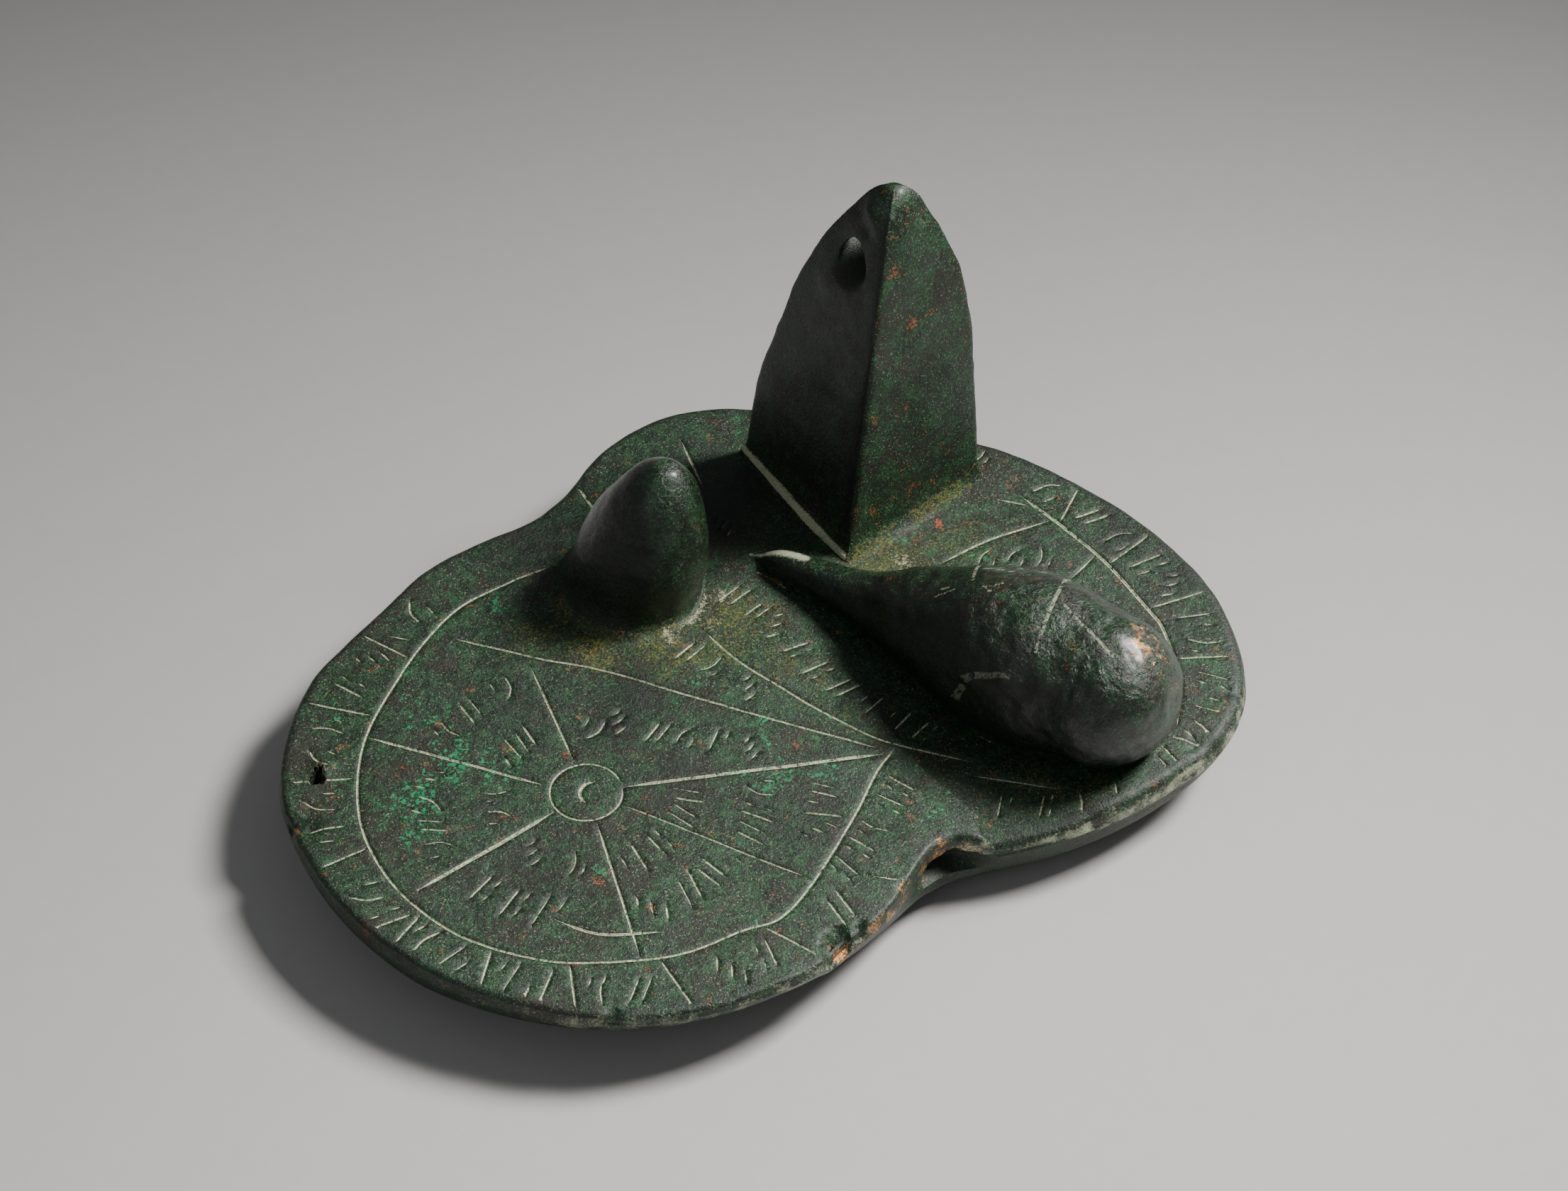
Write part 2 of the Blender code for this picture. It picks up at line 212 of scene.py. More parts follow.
BLADDER_LINES = (
    (((33.9, 4.9), (30.0, 1.2), (27.6, -3.4)), 0.45),
    (((40.6, -4.2), (36.8, -10.2), (31.6, -17.8)), 0.4),
    (((36.8, -12.6), (38.6, -17.4), (40.4, -21.8)), 0.45),
    (((17.2, -9.8), (22.2, -14.0), (28.0, -18.8)), 0.5),
)
BLADDER_TICKS = ((31.0, -1.6), (33.6, -3.2), (29.4, -6.4), (34.8, 1.0), (37.2, -4.4), (24.0, -3.0))

FACE_SPACING = 0.62
STROKE_STEP = 0.55
MARK_GAP = 0.6
THREAD_REACH = 0.7
EDGE_MARGIN = 0.5
OUTLINE_COUNT = 480

BAKED_MASKS = ("stroke", "thread", "wear", "sheen_and_rub", "deposit", "cream", "polish", "rust", "shade", "emerald")


# ---------------------------------------------------------------------------------------------------------------------
# Settings
# ---------------------------------------------------------------------------------------------------------------------


def length(name, description, default):
    return FloatProperty(name=name, description=description, default=default, unit="LENGTH", precision=5, min=0)


def colour(name, description, default):
    return FloatVectorProperty(
        name=name, description=description, default=default, subtype="COLOR", size=3, min=0, max=1
    )


class LiverSizes(bpy.types.PropertyGroup):
    """How deep and how wide the casting is cut and worn."""

    stroke_depth: length("Stroke depth", "How deep the graver cut the widest strokes", 0.28 * MM)
    stroke_width: length("Stroke width", "Width of the strokes of a mark", 0.35 * MM)
    dents: length("Dents", "Height of the slow unevenness of the cast face", 0.16 * MM)
    pitting: length("Pitting", "Height of the fine pitting of the corroded metal", 0.05 * MM)
    rim_raggedness: length("Rim raggedness", "How far the plate's edge wanders in and out", 0.22 * MM)


class PatinaColours(bpy.types.PropertyGroup):
    """The colours of the metal and of what has grown on it."""

    green: colour("Green", "The dark green of most of the patina", (0.0085, 0.0240, 0.0105))
    # Black also paints the shade and shadow that the shade mask lays on the swellings' flanks, the pyramid's left face,
    # the wall and the cord hole.
    black: colour("Black", "The near-black patches and the polished swellings", (0.0035, 0.0042, 0.0032))
    moss: colour("Mid green", "The brighter green mottling", (0.0170, 0.0800, 0.0260))
    emerald: colour("Emerald", "The flakes of bright copper carbonate", (0.004, 0.250, 0.095))
    olive: colour("Olive", "The yellow-green crust in the hollows", (0.175, 0.190, 0.036))
    cream: colour("Cream", "The pale deposit at the foot of the swellings", (0.600, 0.560, 0.390))
    # The stroke fill's colour also lays the painted pale sheen on the rim's front and the painted glints on the
    # pyramid's arris and the bladder's neck.
    fill: colour("Stroke fill", "The pale earth left in the strokes", (0.640, 0.680, 0.460))
    copper: colour("Copper", "Bare metal on worn edges", (0.620, 0.320, 0.130))
    rust: colour("Cuprite", "Spots of red copper oxide", (0.380, 0.085, 0.024))
    brown: colour("Brown", "The brown mottling under the green", (0.0170, 0.0135, 0.0080))


class StageSettings(bpy.types.PropertyGroup):
    """The floor, the lights and the camera."""

    floor: colour("Floor", "Colour of the plain floor", (0.50, 0.49, 0.48))
    key_power: FloatProperty(
        name="Key light", description="Power of the large light at the right", default=1.0, min=0, unit="POWER"
    )
    fill_power: FloatProperty(
        name="Fill light", description="Power of the soft light at the front left", default=0.4, min=0, unit="POWER"
    )
    sky: FloatProperty(name="Surroundings", description="Brightness of the room all round", default=0.14, min=0)
    target: FloatVectorProperty(
        name="Target", description="The point the camera looks at", default=(7.2 * MM, 13.3 * MM, 10.5 * MM),
        unit="LENGTH", size=3, precision=4,
    )
    distance: length("Distance", "From the camera to its target", 0.5831)
    azimuth: FloatProperty(
        name="Azimuth", description="The camera's heading round the liver", default=math.radians(-14.5),
        subtype="ANGLE",
    )
    elevation: FloatProperty(
        name="Elevation", description="How steeply the camera looks down", default=math.radians(48), subtype="ANGLE"
    )
    view_angle: FloatProperty(
        name="View angle", description="Width of the camera's view", default=math.radians(20), subtype="ANGLE"
    )


# ---------------------------------------------------------------------------------------------------------------------
# Curves, noise and the closed skin
# ---------------------------------------------------------------------------------------------------------------------


def through(points, places):
    """A Catmull-Rom curve: the points themselves at whole places, and between them the cubic whose slope at each point
    is half the way between its neighbours. The points may be numbers, places or whole rings."""
    points = np.asarray(points, float)
    span = np.clip(np.floor(places).astype(int), 0, len(points) - 2)
    t = (places - span).reshape((-1,) + (1,) * (points.ndim - 1))
    padded = np.concatenate([2 * points[:1] - points[1:2], points, 2 * points[-1:] - points[-2:-1]])
    before, start, end, after = (padded[span + k] for k in range(4))
    return 0.5 * (
        2 * start
        + (end - before) * t
        + (2 * before - 5 * start + 4 * end - after) * t**2
        + (3 * start - before - 3 * end + after) * t**3
    )


def along(line):
    """How far each point of a line is from its start."""
    return np.concatenate([[0], np.cumsum(np.linalg.norm(np.diff(line, axis=0), axis=1))])


def respaced(line, step):
    """A line's points, spaced evenly by about the step, with both ends kept."""
    far = along(line)
    places = np.linspace(0, far[-1], max(2, int(round(far[-1] / step)) + 1))
    return np.stack([np.interp(places, far, line[:, axis]) for axis in range(line.shape[1])], axis=1)


def smooth_line(points, step):
    """A curve through the points, respaced by the step."""
    points = np.asarray(points, float)
    if len(points) > 2:
        points = through(points, np.linspace(0, len(points) - 1, 12 * len(points)))
    return respaced(points, step)


def blend_step(value, low, high):
    """0 below low, 1 above high and a smooth S between them."""
    t = np.clip((value - low) / (high - low), 0, 1)
    return t * t * (3 - 2 * t)


def cloud(points, size, seed):
    """Smooth noise from 0 to 1: seeded random values on a cubic lattice of the given size, blended by S-shaped shares
    of the eight nearest."""
    values = np.random.default_rng(seed).random(8192)
    place = points / size
    base = np.floor(place).astype(np.int64)
    t = place - base
    t = t * t * (3 - 2 * t)
    total = np.zeros(len(points))
    for corner in np.ndindex(2, 2, 2):
        cell = base + np.array(corner)
        code = (cell[:, 0] * 73856093 ^ cell[:, 1] * 19349663 ^ cell[:, 2] * 83492791) & 8191
        total += values[code] * np.prod(np.where(corner, t, 1 - t), axis=1)
    return total


def evened(loop, count):
    """A closed loop's points, spaced evenly along it."""
    closed = np.vstack([loop, loop[:1]])
    far = along(closed)
    places = np.linspace(0, far[-1], count, endpoint=False)
    return np.stack([np.interp(places, far, closed[:, axis]) for axis in range(2)], axis=1), far[-1]


def softened(loop, total, softening):
    """A closed loop blurred by a periodic Gaussian, worked out on its waves."""
    waves = np.fft.fftfreq(len(loop), total / len(loop))
    keep = np.exp(-2 * (math.pi * waves * softening) ** 2)
    return np.fft.ifft(np.fft.fft(loop, axis=0) * keep[:, None], axis=0).real


def outline(count, softening):
    """The plate's edge: its arcs joined by straight runs, with every join softened."""
    arcs = []
    for x, y, radius, first, last in OUTLINE_ARCS:
        turn = np.radians(np.linspace(first, last, 12))
        arcs.append(np.stack([x + radius * np.cos(turn), y + radius * np.sin(turn)], axis=1))
    fine, total = evened(np.vstack(arcs), 8 * count)
    return evened(softened(fine, total, softening), count)[0]


class Skin:
    """One closed surface, put together from patches. A patch adds its own points and gets their numbers, and uses the
    numbers of the points that are there already on the rims it shares."""

    def __init__(self):
        self.points = []
        self.kinds = []
        self.sides = []
        self.faces = []
        self.count = 0

    def add(self, points, kind, sides=0.5):
        """Adds points of one kind of surface. sides says where round the pyramid they lie."""
        points = np.asarray(points, float).reshape(-1, 3)
        self.points.append(points)
        self.kinds.append(np.full(len(points), kind))
        self.sides.append(np.broadcast_to(sides, len(points)).astype(float))
        self.count += len(points)
        return np.arange(self.count - len(points), self.count)

    def join(self, first, second, closed=False):
        """Quads between two rows of numbered points, wound so that they face right of the way from first to second
        when the rows run upwards."""
        if closed:
            first, second = np.append(first, first[:1]), np.append(second, second[:1])
        quads = np.stack([first[:-1], first[1:], second[1:], second[:-1]], axis=1)
        self.faces.append(quads)

    def fan(self, row, tip, closed=False):
        """Triangles from a row of numbered points to one point."""
        if closed:
            row = np.append(row, row[:1])
        self.faces.append(np.stack([row[:-1], row[1:], np.full(len(row) - 1, tip)], axis=1))

    def packed(self):
        """The points that faces use, their kinds and sides, and each point's number among them."""
        corners = np.concatenate([group.ravel() for group in self.faces])
        used = np.unique(corners)
        place = np.full(self.count, -1)
        place[used] = np.arange(len(used))
        return np.vstack(self.points)[used], np.concatenate(self.kinds)[used], np.concatenate(self.sides)[used], place

    def mesh(self, name, points, place):
        """The Blender mesh: its points, then the faces as runs of corners."""
        points = points * MM
        corners = place[np.concatenate([group.ravel() for group in self.faces])]
        sizes = np.concatenate([np.full(len(group), group.shape[1]) for group in self.faces])
        mesh = bpy.data.meshes.new(name)
        mesh.vertices.add(len(points))
        mesh.vertices.foreach_set("co", points.astype(np.float32).ravel())
        mesh.loops.add(len(corners))
        mesh.loops.foreach_set("vertex_index", corners.astype(np.int32))
        mesh.polygons.add(len(sizes))
        mesh.polygons.foreach_set("loop_start", np.concatenate([[0], np.cumsum(sizes)[:-1]]).astype(np.int32))
        mesh.update(calc_edges=True)
        return mesh


# ---------------------------------------------------------------------------------------------------------------------
# The plate
# ---------------------------------------------------------------------------------------------------------------------


def step_depth(places):
    """How far the right lobe lies under the left one: a plane that tips down from the line between the step's start
    and its far end, felt only right of the step's own line."""
    start, tip, outer, far = (np.array(p) for p in (STEP_START, STEP_TIP, STEP_OUTER, STEP_FAR))
    down = (far - start) / np.linalg.norm(far - start)
    side = np.array([down[1], -down[0]])
    depth = STEP_TIP_DEPTH * np.clip((places - start) @ side, 0, None) / ((tip - start) @ side)
    depth = 2.4 * np.tanh(depth / 2.4)
    return depth * blend_step(right_of_step(places, start, tip, outer), 0, STEP_BLUR)


def right_of_step(places, start, tip, outer):
    """Signed distance to the right of the bent line through the step's start, tip and outer end."""
    sides = []
    for a, b in ((start, tip), (tip, outer)):
        run = (b - a) / np.linalg.norm(b - a)
        sides.append((places - a) @ np.array([-run[1], run[0]]))
    return np.where(places[:, 1] > tip[1], sides[0], sides[1])


def hump(places, centre, radius):
    """1 at the centre, falling as a bell to nothing."""
    return np.exp(-(((places - np.array(centre)) ** 2).sum(axis=1)) / radius**2)


def chip_depth(places):
    """How far the chips in the rim reach down. Each has a ragged edge."""
    total = np.zeros(len(places))
    rough = cloud(np.column_stack([places, np.zeros(len(places))]), 0.9, SEED + 3)
    for x, y, radius, depth in CHIPS:
        far = np.hypot(places[:, 0] - x, places[:, 1] - y) / radius + 0.5 * (rough - 0.5)
        total = np.maximum(total, depth * (1 - blend_step(far, 0.35, 1.1)) * (0.7 + 0.6 * rough))
    return total


def face_height(places, sizes):
    """The height of the uncut face: the plate's top, less the step, the chips and the pit, with slow unevenness, and
    drawn up a little to the foot of the swellings."""
    flat = np.column_stack([places, np.zeros(len(places))])
    uneven = (cloud(flat, 11, SEED) - 0.5) * 2 + (cloud(flat, 4.3, SEED + 1) - 0.5) * 0.8
    uneven += (cloud(flat, 1.3, SEED + 2) - 0.5) * 0.5 * sizes.pitting / (0.05 * MM)
    height = PLATE_TOP + uneven * sizes.dents / MM - step_depth(places) - chip_depth(places)
    crooked = np.column_stack([cloud(flat, 0.8, SEED + 60), cloud(flat, 0.8, SEED + 61)]) * 2 - 1
    pit = np.hypot(*((places - np.array(RIM_PIT_PLACE)) * [1.35, 0.8] + 0.75 * crooked).T)
    height -= RIM_PIT_DEPTH * (1 - blend_step(pit, RIM_PIT_RADIUS * 0.55, RIM_PIT_RADIUS * 1.05))
    height += 0.45 * hump(places, (RIM_PIT_PLACE[0] + 1.1, RIM_PIT_PLACE[1] + 1.0), 1.5) * blend_step(pit, 0.9, 1.5)
    height -= 0.6 * hump(places * [1, 0.7], (-60.4, -6.7), 1.4)
    return height


def around(table, places):
    """A value read from a table of (direction in degrees, value), by each place's direction from the middle."""
    angles, values = np.array(table, float).T
    return np.interp(np.degrees(np.arctan2(places[:, 1], places[:, 0])), angles, values)


def furrow(places):
    """How far the underside is drawn in along the line between its two lobes."""
    start, end = np.array(FURROW_ENDS, float)
    run = (end - start) / np.linalg.norm(end - start)
    across = (places - start) @ np.array([-run[1], run[0]])
    return FURROW_DEPTH * np.exp(-((across / FURROW_WIDTH) ** 2))


def rim_rings(sizes):
    """The rings of the rim, the wall and the underside, top to bottom. The rim turns over a quarter circle. Below it
    a Catmull-Rom surface runs through a wall ring and through rings of the underside, whose lift over the flat spot
    is a power of their share of the way out."""
    edge = outline(OUTLINE_COUNT, OUTLINE_SOFTENING)
    belly = outline(OUTLINE_COUNT, UNDERSIDE_SOFTENING)
    centre = np.array(FLAT_CENTRE)
    inwards = (centre - edge) / np.linalg.norm(centre - edge, axis=1)[:, None]
    solid = np.column_stack([edge, np.zeros(len(edge))])
    ragged = (cloud(solid, 5.5, SEED + 5) + 0.6 * cloud(solid, 1.9, SEED + 6) - 0.4).clip(0) * sizes.rim_raggedness / MM
    ragged = ragged + 0.55 * chip_depth(edge + inwards * 0.6)
    worn = edge + inwards * ragged[:, None]
    wall = around(WALL_HEIGHTS, edge)
    rounding = around(EDGE_ROUNDS, edge)
    top = face_height(worn + inwards * rounding[:, None], sizes)
    rings = []
    for turn in np.radians((90, 74, 58, 42, 26, 12)):
        inset, drop = rounding * (1 - math.cos(turn)), rounding * (1 - math.sin(turn))
        rings.append(np.column_stack([worn + inwards * inset[:, None], top - drop]))
    frames = [np.column_stack([worn, top - rounding])]
    frames.append(np.column_stack([edge, np.minimum(PLATE_TOP - wall * WALL_CREST, top - rounding - 0.5)]))
    for part in np.linspace(1, 0, 8):
        spread = FLAT_SHARE + (1 - FLAT_SHARE) * part**0.85
        flat = centre + (belly - centre) * spread * (1 - 0.012 * part)
        rings_height = (PLATE_TOP - wall) * part**UNDERSIDE_POWER + furrow(flat) * part
        frames.append(np.column_stack([flat, rings_height]))
    places = np.concatenate([np.linspace(0, 2.6, 13), np.linspace(2.6, 9, 15)[1:]])
    rings += list(through(np.array(frames), places))
    return np.array(rings), inwards


def hollowed(rings, inwards):
    """The wall pressed in under the step's tip, as half an ellipsoid."""
    x, y, z = HOLLOW_CENTRE
    near = np.exp(-(((rings[..., 0] - x) / 9) ** 2 + ((rings[..., 1] - y) / 9) ** 2))
    span = ((rings[..., 0] - x) / HOLLOW_RADII[0]) ** 2 + ((rings[..., 2] - z) / HOLLOW_RADII[1]) ** 2
    press = HOLLOW_DEPTH * np.sqrt(np.clip(1 - span, 0, 1)) * near
    moved = rings.copy()
    moved[..., :2] += inwards[None] * press[..., None]
    return moved


def add_rim(skin, sizes):
    """Rim, wall and underside as rings of the outline, closed by a fan over the flat spot. Returns the top ring."""
    rings, inwards = rim_rings(sizes)
    rings = hollowed(rings, inwards)
    bottom = rings[-1]
    bottom[:, 2] = 0
    rows = [skin.add(ring, 1) for ring in rings]
    for upper, lower in zip(rows[:-1], rows[1:]):
        skin.join(lower, upper, closed=True)
    inner = bottom
    previous = rows[-1]
    for part in (0.66, 0.33):
        inner = np.column_stack([bottom[:, :2].mean(axis=0) + (bottom[:, :2] - bottom[:, :2].mean(axis=0)) * part,
                                 np.zeros(len(bottom))])
        row = skin.add(inner, 1)
        skin.join(row, previous, closed=True)
        previous = row
    middle = skin.add([[*bottom[:, :2].mean(axis=0), 0]], 1)[0]
    skin.fan(previous[::-1], middle, closed=True)
    return rings[0], rows[0]


# ---------------------------------------------------------------------------------------------------------------------
# The three swellings
# ---------------------------------------------------------------------------------------------------------------------


def pyramid_surface(sides, shares):
    """Points of the pyramid from two parameters. sides runs from 0 to 3 round the softened triangle of its foot, and
    shares is the height as a share. The section shrinks by the taper, and its middle slides to the apex. A low kerb
    runs along the left foot, and the right and back feet flare out."""
    corners = np.array(PYRAMID_CORNERS)
    middle = corners.mean(axis=0)
    t = np.linspace(0, 1, 240, endpoint=False)[:, None]
    loop = np.vstack([corners[i] + (corners[(i + 1) % 3] - corners[i]) * t for i in range(3)])
    total = np.linalg.norm(corners - np.roll(corners, 1, axis=0), axis=1).sum()
    loop = softened(loop, total, PYRAMID_CORNER_SOFTENING) - middle
    params = np.arange(len(loop)) / 240
    base = np.stack([np.interp(sides % 3, params, loop[:, k], period=3) for k in range(2)], axis=1)
    heights, taper = np.array(PYRAMID_TAPER).T
    fine = through(np.column_stack([heights, taper]), np.linspace(0, len(heights) - 1, 400))
    narrow = np.interp(shares, fine[:, 0], fine[:, 1].clip(0))
    slide = np.array(PYRAMID_APEX) - middle
    height = shares * PYRAMID_HEIGHT
    outward = base / np.linalg.norm(base, axis=1)[:, None]
    rounder = 0.62 * blend_step(shares, 0.72, 1.0)[:, None]
    base = base * (1 - rounder) + outward * rounder * PYRAMID_TOP_RADIUS
    side = sides % 3
    left = blend_step(side, 2.0, 2.06)
    right = 1 - blend_step(side, 0.96, 1.0)
    flare = (0.5 + 0.9 * right) * np.exp(-height / 1.1) + left * 0.75 * (1 - blend_step(height, 0.55, 1.0))
    flat = middle + slide * shares[:, None] + base * narrow[:, None] + outward * flare[:, None]
    points = np.column_stack([flat, PLATE_TOP + height])
    bulge = np.zeros(len(points))
    for x, y, z, radius, size in PYRAMID_KNOBS:
        far = ((points - np.array([x, y, PLATE_TOP + z])) ** 2).sum(axis=1)
        bulge += size * np.exp(-far / radius**2)
    grain = (cloud(points, 5, SEED + 20) - 0.5) * 0.5 + (cloud(points, 1.7, SEED + 21) - 0.5) * 0.16
    points[:, :2] += outward * ((bulge + grain * blend_step(height, 0, 2)) * blend_step(1 - shares, 0, 0.05))[:, None]
    return points


def oval_warp(a, b):
    """Moves the cells round a square hole so that the hole's edge, where the larger of |a| and |b| is 1, becomes a
    circle, fading out where it is 2.4."""
    square = np.maximum(abs(a), abs(b))
    circle = np.hypot(a, b)
    pull = 1 - blend_step(square, 1.0, 2.4)
    scale = 1 + (square / np.maximum(circle, 1e-9) - 1) * pull
    return a * scale, b * scale


def hole_block(centre_side, height, rings, around_count):
    """The cells that a mouth of the cord hole takes out: (first side, last side, first ring, last ring)."""
    half_high = CORD_HOLE_RADII[1] / PYRAMID_HEIGHT
    side_length = CORD_HOLE_FACE_LENGTHS[0 if centre_side > 2 else 1]
    half_wide = CORD_HOLE_RADII[0] / CORD_HOLE_SLANT / side_length
    step = 3 / around_count
    first = int(round((centre_side - half_wide) / step))
    last = int(round((centre_side + half_wide) / step))
    low = int(np.argmin(abs(rings - (height / PYRAMID_HEIGHT - half_high))))
    high = int(np.argmin(abs(rings - (height / PYRAMID_HEIGHT + half_high))))
    return first, last, low, high


def add_pyramid(skin, seat):
    """The pyramid as rings of its section, with the two mouths of the cord hole left out and joined by a tunnel.
    Returns the foot ring."""
    count = 3 * PYRAMID_SIDE_POINTS
    lift = np.linspace(0, 1, PYRAMID_RINGS)
    foot = np.array(PYRAMID_FOOT_RINGS) / PYRAMID_HEIGHT
    rings = np.concatenate([foot, foot[-1] + (1 - foot[-1]) * (0.55 * lift + 0.45 * np.sin(lift * math.pi / 2))[1:]])
    sides = np.arange(count) * 3 / count
    ring_grid, side_grid = np.meshgrid(rings, sides, indexing="ij")
    left = hole_block(CORD_HOLE_SIDES[0], CORD_HOLE_HEIGHT, rings, count)
    back = hole_block(CORD_HOLE_SIDES[1], CORD_HOLE_HEIGHT + CORD_HOLE_RISE, rings, count)
    back = (back[0], back[0] + left[1] - left[0], back[2], back[2] + left[3] - left[2])
    for first, last, low, high in (left, back):
        mid_side, mid_ring = (sides[first] + sides[last]) / 2, (rings[low] + rings[high]) / 2
        half_side, half_ring = (sides[last] - sides[first]) / 2, (rings[high] - rings[low]) / 2
        a, b = (side_grid - mid_side) / half_side, (ring_grid - mid_ring) / half_ring
        new_a, new_b = oval_warp(a, b)
        near = np.maximum(abs(a), abs(b)) < 2.4
        side_grid = np.where(near, mid_side + new_a * half_side, side_grid)
        ring_grid = np.where(near, mid_ring + new_b * half_ring, ring_grid)
    points = pyramid_surface(side_grid.ravel(), ring_grid.ravel()).reshape(len(rings), count, 3)
    seat_height = seat(points[0, :, :2])
    settle = np.exp(-rings * PYRAMID_HEIGHT / 2.5)[:, None]
    points[..., 2] += (seat_height - PLATE_TOP)[None] * settle
    tip = points[-1].mean(axis=0)
    numbers = skin.add(points[:-1], 2, side_grid[:-1].ravel() % 3).reshape(len(rings) - 1, count)
    top = skin.add([tip], 2)[0]
    keep = np.ones((len(rings) - 2, count), bool)
    for first, last, low, high in (left, back):
        keep[low:high, first:last] = False
    after = np.roll(numbers, -1, axis=1)
    quads = np.stack([numbers[:-1], after[:-1], after[1:], numbers[1:]], axis=-1)
    skin.faces.append(quads[keep])
    skin.fan(numbers[-1], top, closed=True)
    add_tunnel(skin, numbers, points, left, back)
    return points[0], numbers[0]


def mouth(numbers, block):
    """The point numbers round a mouth, from its lower first corner along the foot."""
    first, last, low, high = block
    return np.concatenate([
        numbers[low, first:last], numbers[low:high, last], numbers[high, last:first:-1], numbers[high:low:-1, first],
    ])


def add_tunnel(skin, numbers, points, left, back):
    """The cord hole's inside: straight lines between the two mouths, a little narrower in the middle. The mouths are
    seen from opposite sides, so the far one is read the other way round."""
    near = mouth(numbers, left)
    far = mouth(numbers, back)
    wide = left[1] - left[0]
    far = np.roll(far[::-1], wide + 1)
    flat = np.vstack([points[:-1].reshape(-1, 3)])
    offset = numbers[0, 0]
    start, end = flat[near - offset], flat[far - offset]
    rows = [near]
    for part in (0.12, 0.3, 0.5, 0.7, 0.88):
        ring = start + (end - start) * part
        middle = ring.mean(axis=0)
        squeeze = 1 - 0.22 * math.sin(math.pi * part) ** 0.5
        rows.append(skin.add(middle + (ring - middle) * squeeze, 5))
    rows.append(far)
    for first, second in zip(rows[:-1], rows[1:]):
        skin.join(first, second, closed=True)


def nub_surface(turns, shares):
    """Points of the nub: its profile turned about its axis, leaning over, with a slow unevenness."""
    profile = through(np.array(NUB_PROFILE)[::-1], np.linspace(0, len(NUB_PROFILE) - 1, 300))
    far = along(profile)
    radius = np.interp(shares * far[-1], far, profile[:, 0]).clip(0)
    height = np.interp(shares * far[-1], far, profile[:, 1])
    points = np.column_stack([radius * np.cos(turns), radius * np.sin(turns), height])
    grain = (cloud(points, 5.2, SEED + 30) - 0.5) * 0.9 + (cloud(points, 1.6, SEED + 31) - 0.5) * 0.26
    grain += (cloud(points, 0.8, SEED + 32) - 0.5) * 0.1
    points[:, :2] *= (1 + grain * 0.6 / np.maximum(radius, 2))[:, None]
    lean, heading = math.radians(NUB_LEAN), math.radians(NUB_LEAN_TOWARDS)
    forward = np.array([math.cos(heading), math.sin(heading), 0])
    run = points @ forward
    rise = points[:, 2].copy()
    points = points + forward * (run * (math.cos(lean) - 1) + rise * math.sin(lean))[:, None]
    points[:, 2] = rise * math.cos(lean) - run * math.sin(lean)
    return points + np.array([*NUB_PLACE, PLATE_TOP])


def add_nub(skin, seat, steps=144, rows=70):
    """The nub as rings, from its foot on the face to its pole. Returns the foot ring."""
    turns = np.arange(steps) * 2 * math.pi / steps
    spread = np.linspace(0, 1, rows)
    row_grid, turn_grid = np.meshgrid(spread, turns, indexing="ij")
    points = nub_surface(turn_grid.ravel(), row_grid.ravel()).reshape(rows, steps, 3)
    wanted = seat(points[0, :, :2])
    settle = (np.exp(-spread * 9))[:, None]
    points[..., 2] = points[..., 2] + (wanted - points[0, :, 2])[None] * settle
    numbers = skin.add(points[:-1], 3).reshape(rows - 1, steps)
    top = skin.add([points[-1].mean(axis=0)], 3)[0]
    for lower, upper in zip(numbers[:-1], numbers[1:]):
        skin.join(lower, upper, closed=True)
    skin.fan(numbers[-1], top, closed=True)
    return points[0], numbers[0]


def bladder_axis():
    """The axis of the gall bladder: its round end, the way to its neck, the way to its side and the way up."""
    start, end = np.array(BLADDER_ROUND_END, float), np.array(BLADDER_NECK_END, float)
    run = (end - start) / np.linalg.norm(end - start)
    side = np.cross([0, 0, 1], run)
    side /= np.linalg.norm(side)
    return start, run, side, np.cross(run, side)


def bladder_ribs(rib_count, fan_count):
    """Each rib's middle, radius and sideways direction: ribs across the axis up one side, round the bulb, and back
    down the other side. The middles sink towards the neck, so that every rib reaches the plate."""
    start, run, side, up = bladder_axis()
    profile = through(np.array(BLADDER_PROFILE, float), np.linspace(0, len(BLADDER_PROFILE) - 1, 600))
    span = np.linspace(0, 1, rib_count)
    far = BLADDER_BULB + (BLADDER_TAIL - BLADDER_BULB) * (1 - span) ** 1.08
    radius = np.interp(far, profile[:, 0], profile[:, 1])
    middle = start + far[:, None] * run
    middle[:, 2] = np.minimum(middle[:, 2], 0.8 * radius)
    fan = np.linspace(0, math.pi, fan_count + 2)[1:-1]
    fan_side = np.cos(fan)[:, None] * side - np.sin(fan)[:, None] * run
    middles = np.vstack([middle, np.repeat(middle[-1:], fan_count, axis=0), middle[::-1]])
    radii = np.concatenate([radius, np.full(fan_count, radius[-1]), radius[::-1]])
    sideways = np.vstack([np.repeat([side], rib_count, axis=0), fan_side, np.repeat([-side], rib_count, axis=0)])
    return middles, radii, sideways, up


